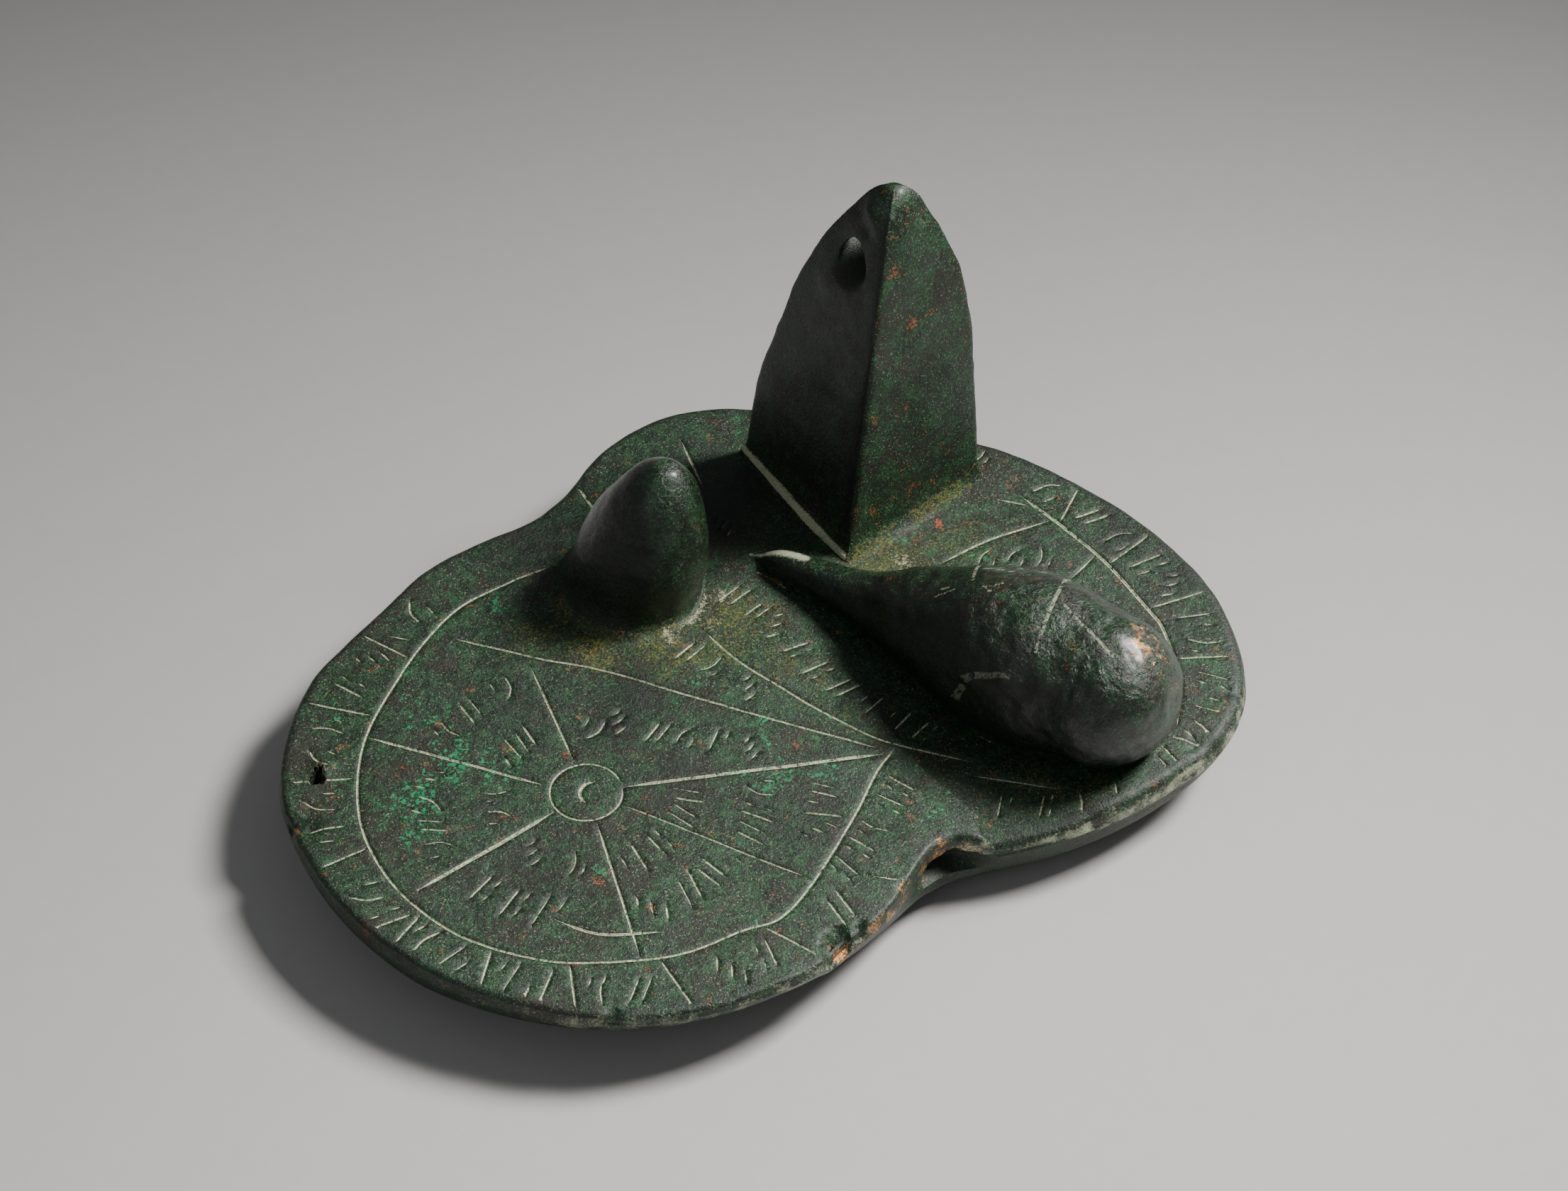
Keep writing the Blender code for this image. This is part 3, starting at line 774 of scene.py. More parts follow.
def add_bladder(skin, seat, rib_count=150, fan_count=96, rows=56):
    """The gall bladder as ribs. A rib is the arc of a circle from the plate, where the arc is found by halving the
    gap between its height and the face's, to the ridge. Returns the foot ring, the neck's tip first."""
    middles, radii, sideways, up = bladder_ribs(rib_count, fan_count)
    count = len(radii)
    low, high = np.full(count, math.pi / 2), np.full(count, math.pi)
    for _ in range(30):
        turn = (low + high) / 2
        foot = middles + radii[:, None] * (np.sin(turn)[:, None] * sideways + np.cos(turn)[:, None] * up)
        above = foot[:, 2] + PLATE_TOP > seat(foot[:, :2])
        low, high = np.where(above, turn, low), np.where(above, high, turn)
    turn = (low + high) / 2
    spread = np.linspace(0, 1, rows)
    turns = turn[:, None] * (1 - spread[None])
    points = middles[:, None] + radii[:, None, None] * (
        np.sin(turns)[..., None] * sideways[:, None] + np.cos(turns)[..., None] * up
    )
    points[..., 2] += PLATE_TOP
    flare = np.exp(-spread * turn[:, None] * radii[:, None] / 0.9) * np.minimum(0.6, 0.25 * radii)[:, None]
    points[..., :2] += sideways[:, None, :2] * flare[..., None]
    out = points - (middles + np.array([0, 0, PLATE_TOP]))[:, None]
    out /= np.linalg.norm(out, axis=2)[..., None]
    flat = points.reshape(-1, 3)
    grain = (cloud(flat, 6, SEED + 40) - 0.5) * 0.7 + (cloud(flat, 2.1, SEED + 41) - 0.5) * 0.34
    grain += (cloud(flat, 0.85, SEED + 42) - 0.5) * 0.14
    fade = (blend_step(spread, 0, 0.12)[None] * np.minimum(1, radii / 5)[:, None]).ravel()
    cut = line_depth(flat[:, :2], bladder_strokes())
    points += (out.reshape(-1, 3) * ((grain - 0.16 * cut) * fade)[:, None]).reshape(points.shape)
    points[:, 0, 2] = seat(points[:, 0, :2])
    ridge = points[:rib_count, -1]
    tip_place = ridge[0] + (middles[0] - middles[4]) * [1.2, 1.2, 0]
    tip_place = np.append(tip_place[:2], seat(tip_place[None, :2]))
    tip = skin.add([tip_place], 4)[0]
    body = skin.add(points[:, :-1], 4).reshape(count, rows - 1)
    top = skin.add(ridge, 4)
    tops = np.concatenate([top, np.full(fan_count, top[-1]), top[::-1]])
    columns = np.column_stack([body, tops])
    for first, second in zip(columns[:-1], columns[1:]):
        add_strip(skin, first, second)
    skin.fan(columns[0], tip)
    skin.fan(columns[-1][::-1], tip)
    return np.vstack([tip_place, points[:, 0]]), np.append(tip, body[:, 0])


def add_strip(skin, first, second):
    """Quads between two columns, with a triangle where they end in the same point."""
    if first[-1] == second[-1]:
        skin.join(second[:-1], first[:-1])
        skin.faces.append(np.array([[first[-2], second[-2], first[-1]]]))
    else:
        skin.join(second, first)


# ---------------------------------------------------------------------------------------------------------------------
# The engraving
# ---------------------------------------------------------------------------------------------------------------------


def stroke(points, width, step=STROKE_STEP, taper=0.8):
    """One cut: its centre line, and its half width, which narrows to the ends over the taper's length."""
    line = smooth_line(points, step)
    far = along(line)
    ends = np.minimum(far, far[-1] - far)
    return line, width / 2 * (0.35 + 0.65 * blend_step(ends, -0.05, taper))


# The cuts of a mark, as shares of its height: each is (across, up) of its points. They lie apart and about parallel, so
# no mark makes a letter.
MARK_CUTS = (
    (((-0.2, -0.5), (-0.1, 0.5)), ((0.2, 0.1), (0.26, 0.46))),
    (((-0.24, -0.5), (-0.12, 0.48)), ((0.1, 0.18), (0.16, 0.46)), ((0.06, -0.42), (0.12, -0.14))),
    (((-0.2, -0.44), (-0.02, 0.42)), ((0.12, -0.36), (0.3, 0.5))),
    (((-0.28, -0.36), (-0.16, 0.1), (0.12, 0.4)), ((0.16, -0.46), (0.24, -0.1))),
    (((-0.3, 0.2), (-0.24, 0.48)), ((-0.08, -0.16), (0.0, 0.24)), ((0.16, -0.5), (0.26, -0.06))),
    (((-0.16, -0.5), (-0.04, -0.02), (-0.1, 0.5)), ((0.2, -0.4), (0.26, -0.12))),
    (((-0.26, -0.12), (-0.2, 0.3)), ((0.1, -0.5), (0.22, 0.5))),
)


def mark_strokes(place, heading, height, width, rng):
    """A mark that makes no letter: two or three cuts that lie apart, slanted a little more or less each time."""
    lean = rng.uniform(-0.16, 0.1)
    c, s = math.cos(heading + lean), math.sin(heading + lean)
    turn = np.array([[c, -s], [s, c]])
    size = height * rng.uniform(0.86, 1.08)
    return [
        stroke(place + (np.array(cut) * [1.15, 1] * size) @ turn.T, width * rng.uniform(0.8, 1.25), taper=0.4)
        for cut in MARK_CUTS[rng.integers(len(MARK_CUTS))]
    ]


def row_of_marks(line, count, height, width, rng):
    """Marks along a line, upright to it, with uneven gaps. Each is a list of its cuts."""
    line = smooth_line(line, 0.5)
    far = along(line)
    gaps = (np.arange(count) + 0.5 + rng.uniform(-0.12, 0.12, count)) / count * far[-1]
    places = np.stack([np.interp(gaps, far, line[:, k]) for k in range(2)], axis=1)
    ahead = np.stack([np.interp(gaps + 0.5, far, line[:, k]) for k in range(2)], axis=1) - places
    back = places - np.stack([np.interp(gaps - 0.5, far, line[:, k]) for k in range(2)], axis=1)
    headings = np.arctan2((ahead + back)[:, 1], (ahead + back)[:, 0])
    found = []
    for place, heading in zip(places, headings):
        found.append(mark_strokes(place, heading + rng.uniform(-0.1, 0.1), height, width, rng))
    return found


def clear_marks(marks, lines):
    """The cuts of the marks that keep clear of the lines and of the marks kept before them."""
    kept = []
    taken = np.vstack([line for line, _ in lines])
    for mark in marks:
        places = np.vstack([line for line, _ in mark])
        if np.hypot(*np.moveaxis(places[:, None] - taken[None], 2, 0)).min() > MARK_GAP:
            kept += mark
            taken = np.vstack([taken, places])
    return kept


def polar(points, centre):
    """A line as (direction, distance) from a centre, by direction."""
    away = np.asarray(points, float) - np.array(centre)
    angle = np.degrees(np.arctan2(away[:, 1], away[:, 0]))
    order = np.argsort(angle)
    return angle[order], np.hypot(*away.T)[order]


def spot(centre, angle, radius):
    """The place at a direction in degrees and a distance from a centre."""
    turn = np.radians(angle)
    return np.array(centre) + np.stack([np.cos(turn), np.sin(turn)], axis=-1) * np.asarray(radius)[..., None]


def band_strokes(centre, inner, dividers, first, last, marks, width, rng):
    """The band between a lobe's inner line and the rim: the divider at each direction, and the marks between them."""
    edge_angle, edge_far = polar(outline(720, OUTLINE_SOFTENING), centre)
    line_angle, line_far = polar(smooth_line(inner, 0.5), centre)

    def radius(angle, part):
        """The distance at a direction: the inner line's where part is 0, and the rim's where it is 1."""
        a = (np.asarray(angle) + 180) % 360 - 180
        return np.interp(a, line_angle, line_far, period=360) * (1 - part) + part * np.interp(
            a, edge_angle, edge_far, period=360
        )

    lines, found = [], []
    for angle in dividers:
        ends = [spot(centre, angle, radius(angle, 0.06)), spot(centre, angle + 2, radius(angle + 2, 0.86))]
        lines.append(stroke(ends, 0.4))
    stops = np.sort(np.unwrap(np.radians(np.array([first, *dividers, last]))))
    stops = np.degrees(stops)
    for start, end in zip(stops[:-1], stops[1:]):
        angles = np.linspace(start + 1.5, end - 1.5, 9)
        line = spot(centre, angles, radius(angles, 0.5))
        count = int(round(along(line)[-1] / marks))
        if count:
            found += row_of_marks(line[::-1], count, 4.7, width, rng)
    return lines, found


def face_strokes(sizes):
    """Every cut of the face: the wheel with its hub and spokes, the dividing lines and the rows of marks."""
    rng = np.random.default_rng(SEED)
    width = sizes.stroke_width / MM
    found = [stroke(WHEEL_RIM, 0.44, taper=2)]
    hub_turn = np.radians(np.linspace(8, 352, 30))
    found.append(stroke(np.array(HUB) + HUB_RADIUS * np.stack([np.cos(hub_turn), np.sin(hub_turn)], axis=1), 0.38))
    crescent = np.radians(np.linspace(80, 220, 12))
    found.append(stroke(np.array(HUB) + [0.9, -0.4] + 1.8 * np.stack([np.cos(crescent), np.sin(crescent)], 1), 0.6))
    found += [stroke([start, end], thick, taper=3) for start, end, thick in SPOKES]
    found += [stroke(line, thick, taper=3) for line, thick in FACE_LINES]
    marks = []
    for line, count, height in MARK_ROWS:
        marks += row_of_marks(line, count, height, width, rng)
    for first, last, radius, count, height in SECTOR_ROWS:
        angles = np.linspace(first, last, 12)
        marks += row_of_marks(spot(HUB, angles, np.full(12, radius)), count, height, width, rng)
    for centre, inner, dividers, first, last, pitch in (
        (HUB, WHEEL_RIM, BAND_DIVIDERS_LEFT, -32, -252, 5.0),
        (RIGHT_BAND_CENTRE, FACE_LINES[2][0], BAND_DIVIDERS_RIGHT, -62, 58, 4.8),
    ):
        lines, more = band_strokes(centre, inner, dividers, first, last, pitch, width, rng)
        found += lines
        marks += more
    return found + clear_marks(marks, found)


def bladder_strokes():
    """The cuts on the gall bladder, seen from above."""
    rng = np.random.default_rng(SEED + 7)
    found = [stroke(line, thick, taper=2) for line, thick in BLADDER_LINES]
    for place in BLADDER_TICKS:
        found += mark_strokes(np.array(place), rng.uniform(-2.2, -1.2), 2.6, 0.4, rng)
    return found


def line_depth(places, strokes):
    """How deep each place lies in a cut, from 0 outside to 1 on the centre line of the widest: one minus the distance
    to the line over its half width there, times its half width's share of the widest."""
    depth = np.zeros(len(places))
    widest = 0.33
    for line, half in strokes:
        reach = half.max() + 0.02
        low, high = line.min(axis=0) - reach, line.max(axis=0) + reach
        near = np.flatnonzero(((places > low) & (places < high)).all(axis=1))
        if not len(near):
            continue
        start, run = line[:-1], np.diff(line, axis=0)
        away = places[near][:, None] - start[None]
        t = np.clip((away * run).sum(axis=2) / (run**2).sum(axis=1), 0, 1)
        gap = np.hypot(*np.moveaxis(away - t[..., None] * run, 2, 0))
        best = gap.argmin(axis=1)
        pick = np.arange(len(near))
        local = half[best] + (half[best + 1] - half[best]) * t[pick, best]
        level = np.clip(1 - gap[pick, best] / local, 0, 1) * np.minimum(1, local / widest)
        depth[near] = np.maximum(depth[near], level)
    return depth


def nearest(places, targets, block=1500):
    """Each place's distance to the nearest target, worked out in blocks."""
    found = [
        np.sqrt(((places[i : i + block, None] - targets[None]) ** 2).sum(axis=2).min(axis=1))
        for i in range(0, len(places), block)
    ]
    return np.concatenate(found) if found else np.zeros(0)


def within(places, loop, centre):
    """Whether places lie inside a loop that can be seen whole from its centre."""
    angle, far = polar(loop, centre)
    away = places - np.array(centre)
    return np.hypot(*away.T) < np.interp(np.degrees(np.arctan2(away[:, 1], away[:, 0])), angle, far, period=360)


def on_face(places, loops, margin):
    """Whether places lie on the engraved face, at least the margin from its rim and from the swellings' feet."""
    (rim, rim_centre), *feet = loops
    clear = within(places, rim, rim_centre)
    for loop, centre in feet:
        clear &= ~within(places, loop, centre)
    near = np.flatnonzero(clear)
    edges = np.vstack([loop for loop, _ in loops])
    clear[near] = nearest(places[near], edges) > margin
    return clear


def trimmed(strokes, loops):
    """The strokes cut back to their longest runs on the clear face."""
    kept = []
    for line, half in strokes:
        clear = on_face(line, loops, EDGE_MARGIN)
        if clear.all():
            kept.append((line, half))
            continue
        breaks = np.flatnonzero(np.diff(np.concatenate([[0], clear.astype(int), [0]])))
        runs = breaks.reshape(-1, 2)
        if len(runs):
            start, end = runs[np.diff(runs, axis=1).argmax()]
            if end - start > 2:
                kept.append((line[start:end], half[start:end]))
    return kept


def sown(loops, strokes):
    """Points over the open face: a triangular lattice, shaken a little, without those next to a cut."""
    rng = np.random.default_rng(SEED + 9)
    low, high = loops[0][0].min(axis=0), loops[0][0].max(axis=0)
    across = np.arange(low[0], high[0], FACE_SPACING)
    up = np.arange(low[1], high[1], FACE_SPACING * math.sqrt(0.75))
    x, y = np.meshgrid(across, up)
    x[1::2] += FACE_SPACING / 2
    places = np.column_stack([x.ravel(), y.ravel()]) + rng.uniform(-0.1, 0.1, (x.size, 2))
    places = places[on_face(places, loops, 0.42)]
    for x, y, reach in (*((*RIM_PIT_PLACE, 3.0),), *((x, y, 1.3 * radius) for x, y, radius, _ in CHIPS)):
        across = np.arange(-reach, reach, 0.27)
        block = np.array([x, y]) + np.stack(np.meshgrid(across, across), axis=-1).reshape(-1, 2)
        block = block[np.hypot(*(block - [x, y]).T) < reach] + rng.uniform(-0.04, 0.04, 2)
        places = places[np.hypot(*(places - [x, y]).T) > reach]
        places = np.vstack([places, block[on_face(block, loops, 0.2)]])
    cell = 0.3
    cut = np.vstack([line for line, _ in strokes])
    taken = np.floor(cut / cell).astype(np.int64)
    codes = np.concatenate([(taken[:, 0] + i) * 100003 + taken[:, 1] + j for i in (-1, 0, 1) for j in (-1, 0, 1)])
    own = np.floor(places / cell).astype(np.int64)
    return places[~np.isin(own[:, 0] * 100003 + own[:, 1], codes)]


def face_layout(loops, strokes):
    """The points and edges that the triangles of the face have to keep: the loops, each stroke's two edges and centre
    line, the step's two lines and the sown points."""
    points, edges, count = [], [], 0

    def keep(line, closed=False):
        nonlocal count
        numbers = np.arange(count, count + len(line))
        points.append(line)
        edges.append(np.stack([numbers[:-1], numbers[1:]], axis=1))
        if closed:
            edges.append(np.array([[numbers[-1], numbers[0]]]))
        count += len(line)

    for loop, _ in loops:
        keep(loop, closed=True)
    for line, half in strokes:
        run = np.gradient(line, axis=0)
        side = np.stack([-run[:, 1], run[:, 0]], axis=1) / np.linalg.norm(run, axis=1)[:, None]
        keep(line)
        keep(line + side * half[:, None])
        keep(line - side * half[:, None])
    for offset in (0, STEP_BLUR):
        line = respaced(np.array([STEP_START, STEP_TIP, STEP_OUTER], float), 0.5) + [offset, 0]
        keep(line[on_face(line, loops, EDGE_MARGIN)])
    loose = sown(loops, strokes)
    points.append(loose)
    return np.vstack(points), np.vstack(edges)


def add_face(skin, sizes, loops, numbers, strokes):
    """The engraved face: a constrained Delaunay triangulation of its layout, less what the swellings stand on. Its
    height is the uncut face's, less the depth of the cuts."""
    places, edges = face_layout(loops, strokes)
    bounds = np.cumsum([0] + [len(loop) for loop, _ in loops])
    borders = [list(range(a, b)) for a, b in zip(bounds[:-1], bounds[1:])]
    made = delaunay_2d_cdt([Vector(p) for p in places], edges.tolist(), borders, 1, 1e-5)
    flat = np.array([tuple(v) for v in made[0]])
    origins = made[3]
    inside = [i for i, faces in enumerate(made[5]) if faces == [0]]
    triangles = np.array([made[2][i] for i in inside])
    shared = np.concatenate(numbers)
    first = np.array([min(found) if found else -1 for found in origins])
    used = np.unique(triangles)
    ids = np.full(len(flat), -1)
    on_loop = used[(first[used] >= 0) & (first[used] < bounds[-1])]
    ids[on_loop] = shared[first[on_loop]]
    fresh = np.setdiff1d(used, on_loop)
    cut = line_depth(flat[fresh], strokes)
    height = face_height(flat[fresh], sizes) - cut * sizes.stroke_depth / MM
    ids[fresh] = skin.add(np.column_stack([flat[fresh], height]), 0)
    a, b, c = (flat[triangles[:, k]] for k in range(3))
    turn = (b - a)[:, 0] * (c - a)[:, 1] - (b - a)[:, 1] * (c - a)[:, 0]
    triangles = np.where((turn < 0)[:, None], triangles[:, ::-1], triangles)
    skin.faces.append(ids[triangles])
    return ids[fresh], cut


def swelling_seat(sizes):
    """A function that gives the face's height at the foot of a swelling."""
    return lambda places: face_height(np.asarray(places), sizes)


# ---------------------------------------------------------------------------------------------------------------------
# Masks of the patina
# ---------------------------------------------------------------------------------------------------------------------

# Where the crusts lie, in millimetres: (x, y, radius, strength)
OLIVE_PATCHES = (
    (-26.0, 14.0, 7.4, 0.9), (-19.0, 10.6, 8.1, 1.0), (-11.0, 8.6, 9.5, 1.0), (-4.0, 8.0, 9.5, 0.95),
    (1.6, 12.0, 8.1, 0.9), (3.0, 1.0, 8.1, 0.8), (8.0, -3.0, 8.1, 0.75), (12.0, -9.0, 8.1, 0.7),
    (20.0, -20.0, 8.1, 0.7), (29.0, -26.0, 9.5, 0.85), (37.0, -29.0, 8.1, 0.8), (22.0, 14.0, 10.8, 1.0),
    (32.0, 17.0, 10.8, 0.8), (42.0, 20.0, 10.8, 0.55), (47.0, 14.0, 9.5, 0.45), (2.0, 24.0, 8.1, 0.6),
    (57.0, 0.0, 12.2, 0.35), (56.0, -12.0, 10.8, 0.45), (-45.0, 20.0, 8.1, 0.3), (-21.0, 18.0, 4.1, 1.0),
    (4.0, 40.0, 10.8, 0.4), (-14.0, 36.0, 12.2, 0.25), (44.0, 26.0, 9.5, 0.4), (-12.0, -44.0, 16.2, 0.22),
    (-34.0, -45.0, 13.5, 0.2),
)
CREAM_PATCHES = (
    (-3.4, 10.4, 3.0, 0.75), (-9.0, 9.8, 3.0, 0.85), (-15.0, 11.0, 2.0, 0.5), (-0.6, 15.4, 2.6, 0.8),
    (1.4, 19.6, 2.6, 0.7), (24.0, 15.6, 3.6, 0.75), (30.0, 18.4, 2.6, 0.5), (40.0, -31.0, 3.6, 0.8),
    (46.0, -28.5, 3.4, 0.75), (34.0, -31.0, 3.6, 0.6), (3.0, 12.6, 3.0, 0.5), (28.0, -28.0, 2.6, 0.5),
    (50.6, -23.0, 2.4, 0.5), (-57.0, -0.6, 2.0, 0.8),
)
RUST_PATCHES = (
    (-0.7, 4.9, 1.3, 1.0), (-2.4, 6.6, 0.9, 0.8), (-10.0, 2.2, 0.8, 0.8), (30.4, 20.6, 1.8, 1.0),
    (26.4, 18.4, 1.5, 0.9), (34.6, 22.4, 1.3, 0.8), (47.1, 21.4, 1.2, 0.9), (41.6, 11.4, 1.4, 0.6),
    (8.8, -22.9, 0.8, 0.7), (-53.0, -35.4, 1.1, 1.2), (-58.8, -10.4, 1.6, 0.7), (-59.6, -3.6, 1.3, 0.5),
    (54.2, -20.0, 1.6, 0.6),
)
EMERALD_PATCHES = (
    (-46.0, -8.6, 5.0, 0.9), (-41.0, -3.4, 5.5, 1.0), (-36.0, -5.6, 4.5, 0.8), (-48.4, -13.0, 4.0, 0.8),
    (-42.6, 5.0, 4.5, 0.7), (-30.2, 20.6, 2.4, 0.9), (-2.0, -16.6, 4.0, 0.9), (4.0, -17.0, 3.4, 0.8),
    (-26.0, -25.6, 2.6, 0.9), (-9.6, 2.6, 5.0, 0.5), (-16.6, 3.8, 5.0, 0.4), (-2.0, -9.6, 4.0, 0.5),
    (7.4, -22.0, 3.0, 0.5), (-54.0, 8.6, 5.0, 0.4), (36.0, 12.6, 5.0, 0.4), (54.0, 4.0, 5.0, 0.4),
    (54.6, -15.0, 4.0, 0.5), (-28.0, -33.4, 3.0, 0.4), (-9.0, -28.0, 5.0, 0.3), (16.0, -27.0, 3.0, 0.5),
)
# How worn the rim is, and how strong the pale edge of its front rounding is, worn by rubbing and with a painted sheen,
# by direction from the middle in degrees
RIM_WEAR = (
    (-180, 0.1), (-150, 0.15), (-100, 0.1), (-88, 0.9), (-62, 0.8), (-52, 0.2), (-36, 0.75), (-14, 0.7),
    (0, 0.1), (180, 0.1),
)
RIM_SHEEN_AND_RUB = (
    (-180, 0.15), (-150, 0.3), (-125, 0.75), (-90, 0.6), (-75, 0.35), (-58, 0.9), (-30, 0.85), (-10, 0.5),
    (8, 0.15), (180, 0.15),
)
# Spots of bare metal on the rim: x, y, radius and strength
WORN_SPOTS = (
    (-0.6, -43.8, 1.9, 1.3), (9.6, -37.6, 2.4, 0.8), (15.6, -32.0, 2.6, 0.8), (-53.0, -35.6, 1.0, 1.1),
    (-61.4, -9.4, 1.4, 0.9),
)
# Where the plate is darkened, some as the painted shadow of the pyramid between it and the nub: x, y, radius and
# strength
DARK_PATCHES = (
    (-15.6, 2.0, 5.0, 0.7), (-19.6, -2.4, 3.4, 0.9), (-14.0, -12.4, 4.0, 0.6), (-8.0, 12.0, 4.0, 0.2),
    (2.0, 30.0, 7.0, 0.9), (6.0, 34.0, 6.0, 0.9), (-22.0, 30.0, 6.0, 0.6), (53.6, -6.0, 3.0, 0.5),
    (60.0, 4.0, 4.0, 0.7), (54.0, 12.0, 4.0, 0.6), (-36.0, -24.0, 7.0, 0.4), (0.0, -24.0, 7.0, 0.4),
    (-30.0, 4.0, 6.0, 0.4),
)


def patches(places, table, grow=1.0):
    """The largest of a table's patches at each place."""
    total = np.zeros(len(places))
    for x, y, radius, strength in table:
        total = np.maximum(total, strength * hump(places, (x, y), radius * grow))
    return total


def bell_line(places, start, end, reach):
    """1 on the line from start to end, falling as a bell to nothing off it."""
    start, end = np.array(start, float), np.array(end, float)
    run = end - start
    t = np.clip((places - start) @ run / (run @ run), 0, 1)
    return np.exp(-((places - start - t[:, None] * run) ** 2).sum(axis=1) / reach**2)


def patina_masks(points, kinds, sides, normals, cut_numbers, cuts, feet, rim):
    """The masks, each from 0 to 1 at every point: the cuts' fill, worn metal with a painted highlight, a pale edge with
    a painted sheen and glints, the crusts, polish, and painted shade and shadow with dark places.
    """
    flat = points[:, :2]
    over = points[:, 2] - PLATE_TOP
    up = normals[:, 2]
    face, wall, pyramid, nub, bladder = (kinds == k for k in range(5))
    coarse = cloud(points, 3.1, SEED + 50)
    middle = cloud(points, 1.2, SEED + 51)
    fine = cloud(points, 0.5, SEED + 52)
    ragged = 0.4 * coarse + 0.35 * middle + 0.25 * fine
    right_side = pyramid & (sides < 1)
    left_side = pyramid & (sides >= 2)
    towards_light = normals[:, :2] @ np.array([0.97, -0.25])

    stroke_mask = np.zeros(len(points))
    stroke_mask[cut_numbers] = cuts
    thread = np.zeros(len(points))
    wide = [(line, np.full(len(line), THREAD_REACH)) for line, _ in bladder_strokes()]
    thread[bladder] = line_depth(flat[bladder], wide) * (up[bladder] > 0.05)

    def by_foot(loop, reach):
        """1 along a swelling's foot, falling off over the reach and upwards."""
        near = np.flatnonzero((over < 3) & (over > -3) & ~wall)
        value = np.zeros(len(points))
        value[near] = np.exp(-nearest(flat[near], loop) / reach - over[near].clip(0) / 1.2)
        return value

    nub_foot, bladder_foot = (by_foot(loop, reach) for loop, reach in zip(feet, (1.9, 0.9)))
    heading = np.degrees(np.arctan2(flat[:, 1] - NUB_PLACE[1], flat[:, 0] - NUB_PLACE[0]))
    nub_front = nub_foot * np.exp(-(((heading + 52) / 46) ** 2))
    right_foot = bell_line(flat, PYRAMID_CORNERS[0], PYRAMID_CORNERS[1], 2.6) * (over < 6) * ~left_side
    kerb = left_side * (sides > 2.02) * (sides < 2.985) * blend_step(over, 0.1, 0.3) * (1 - blend_step(over, 0.8, 1.1))
    neck_ridge = bell_line(flat, BLADDER_NECK_END[:2], (10.6, 15.6), 1.0) * bladder * blend_step(up, 0.3, 0.8)
    neck_line = bell_line(flat, (3.6, 19.6), (9.4, 12.4), 0.55) * face

    olive = patches(flat, OLIVE_PATCHES) * (face | (over < 1.5)) * ~wall
    climbing = right_side * (0.35 * np.exp(-over.clip(0) / 9) + 0.75 * np.exp(-over.clip(0) / 3.5))
    nub_lit = nub * blend_step(towards_light, -0.1, 0.5) * (1 - blend_step(up, 0.6, 0.85)) * blend_step(over, 0, 2)
    deposit = olive * (0.45 + 1.1 * ragged) + climbing * blend_step(ragged, 0.3, 0.6)
    deposit = np.maximum(deposit, 0.75 * nub_lit * blend_step(ragged, 0.42, 0.62))
    deposit = np.maximum(deposit, 0.7 * left_side * (over < 5) * np.exp(-(over.clip(0) / 2.2)))
    cream = patches(flat, CREAM_PATCHES) * (over < 1.2) * ~wall
    cream = np.maximum(np.maximum(cream, 0.95 * nub_front), 0.3 * bladder_foot * (flat[:, 0] > 30))
    cream = np.maximum(cream, 0.62 * right_foot * np.exp(-over.clip(0) / 1.0)) * (0.45 + 1.1 * ragged)
    cream = np.maximum(np.maximum(cream, kerb * (0.75 + 0.5 * middle)), neck_line * (0.6 + 0.6 * fine))
    rust = patches(flat, RUST_PATCHES) * (over < 1.5) * ~wall
    rust = np.maximum(rust, 0.8 * right_foot * blend_step(coarse, 0.5, 0.75) * np.exp(-over.clip(0) / 2.5))

    edge_angle, edge_far = polar(rim, FLAT_CENTRE)
    away = flat - np.array(FLAT_CENTRE)
    heading = np.degrees(np.arctan2(away[:, 1], away[:, 0]))
    inset = np.interp(heading, edge_angle, edge_far, period=360) - np.hypot(*away.T)
    edge = (face | wall) & (over > -3)
    lip = np.exp(-(((inset - 0.1) / 0.7) ** 2)) * edge
    worn = np.interp(heading, *np.array(RIM_WEAR, float).T)
    wear = worn * lip * blend_step(0.6 * middle + 0.4 * coarse, 0.46, 0.62)
    for x, y, reach, strength in WORN_SPOTS:
        wear = np.maximum(wear, strength * hump(flat, (x, y), reach) * edge * (inset < 1.3) * (0.5 + fine))
    step_line = right_of_step(flat, *(np.array(p) for p in (STEP_START, STEP_TIP, STEP_OUTER)))
    step_edge = np.exp(-((step_line / 0.3) ** 2)) * face * blend_step(-flat[:, 1], 20, 26)
    wear = np.maximum(wear, 0.8 * step_edge * blend_step(middle, 0.35, 0.6))
    # A painted highlight: bare copper laid on the top of the gall bladder's bulb, where the light catches it.
    painted_highlight = hump(flat, (45.0, -20.2), 5.0) * bladder * (over < 17.5) * (over > 5)
    wear = np.maximum(wear, painted_highlight * (0.2 + 1.1 * fine))
    streak = nub * bell_line(flat, (-3.6, 24.6), (0.6, 17.4), 1.9)
    streak = streak * blend_step(over, 11, 15) * (1 - blend_step(over, 19.6, 20.8))
    wear = np.maximum(wear, 0.85 * streak * (0.5 + 0.8 * middle))

    # The pale edge: a painted sheen over metal worn by rubbing on the rim's front rounding, painted glints along the
    # pyramid's arris and the bladder's neck ridge, and the pale kerb at the pyramid's left foot.
    sheen_and_rubbed = np.interp(heading, *np.array(RIM_SHEEN_AND_RUB, float).T)
    sheen_and_rub = sheen_and_rubbed * np.exp(-(((inset + 0.1) / 1.1) ** 2)) * edge * (0.35 + 0.65 * middle)
    arris = pyramid * np.exp(-((np.minimum(sides, 3 - sides) / 0.012) ** 2))
    sheen_and_rub = np.maximum(np.maximum(sheen_and_rub, 0.9 * neck_ridge), 0.45 * arris * blend_step(coarse * 0.6 + over / 120, 0.36, 0.5))
    sheen_and_rub = np.maximum(sheen_and_rub, 0.8 * kerb)

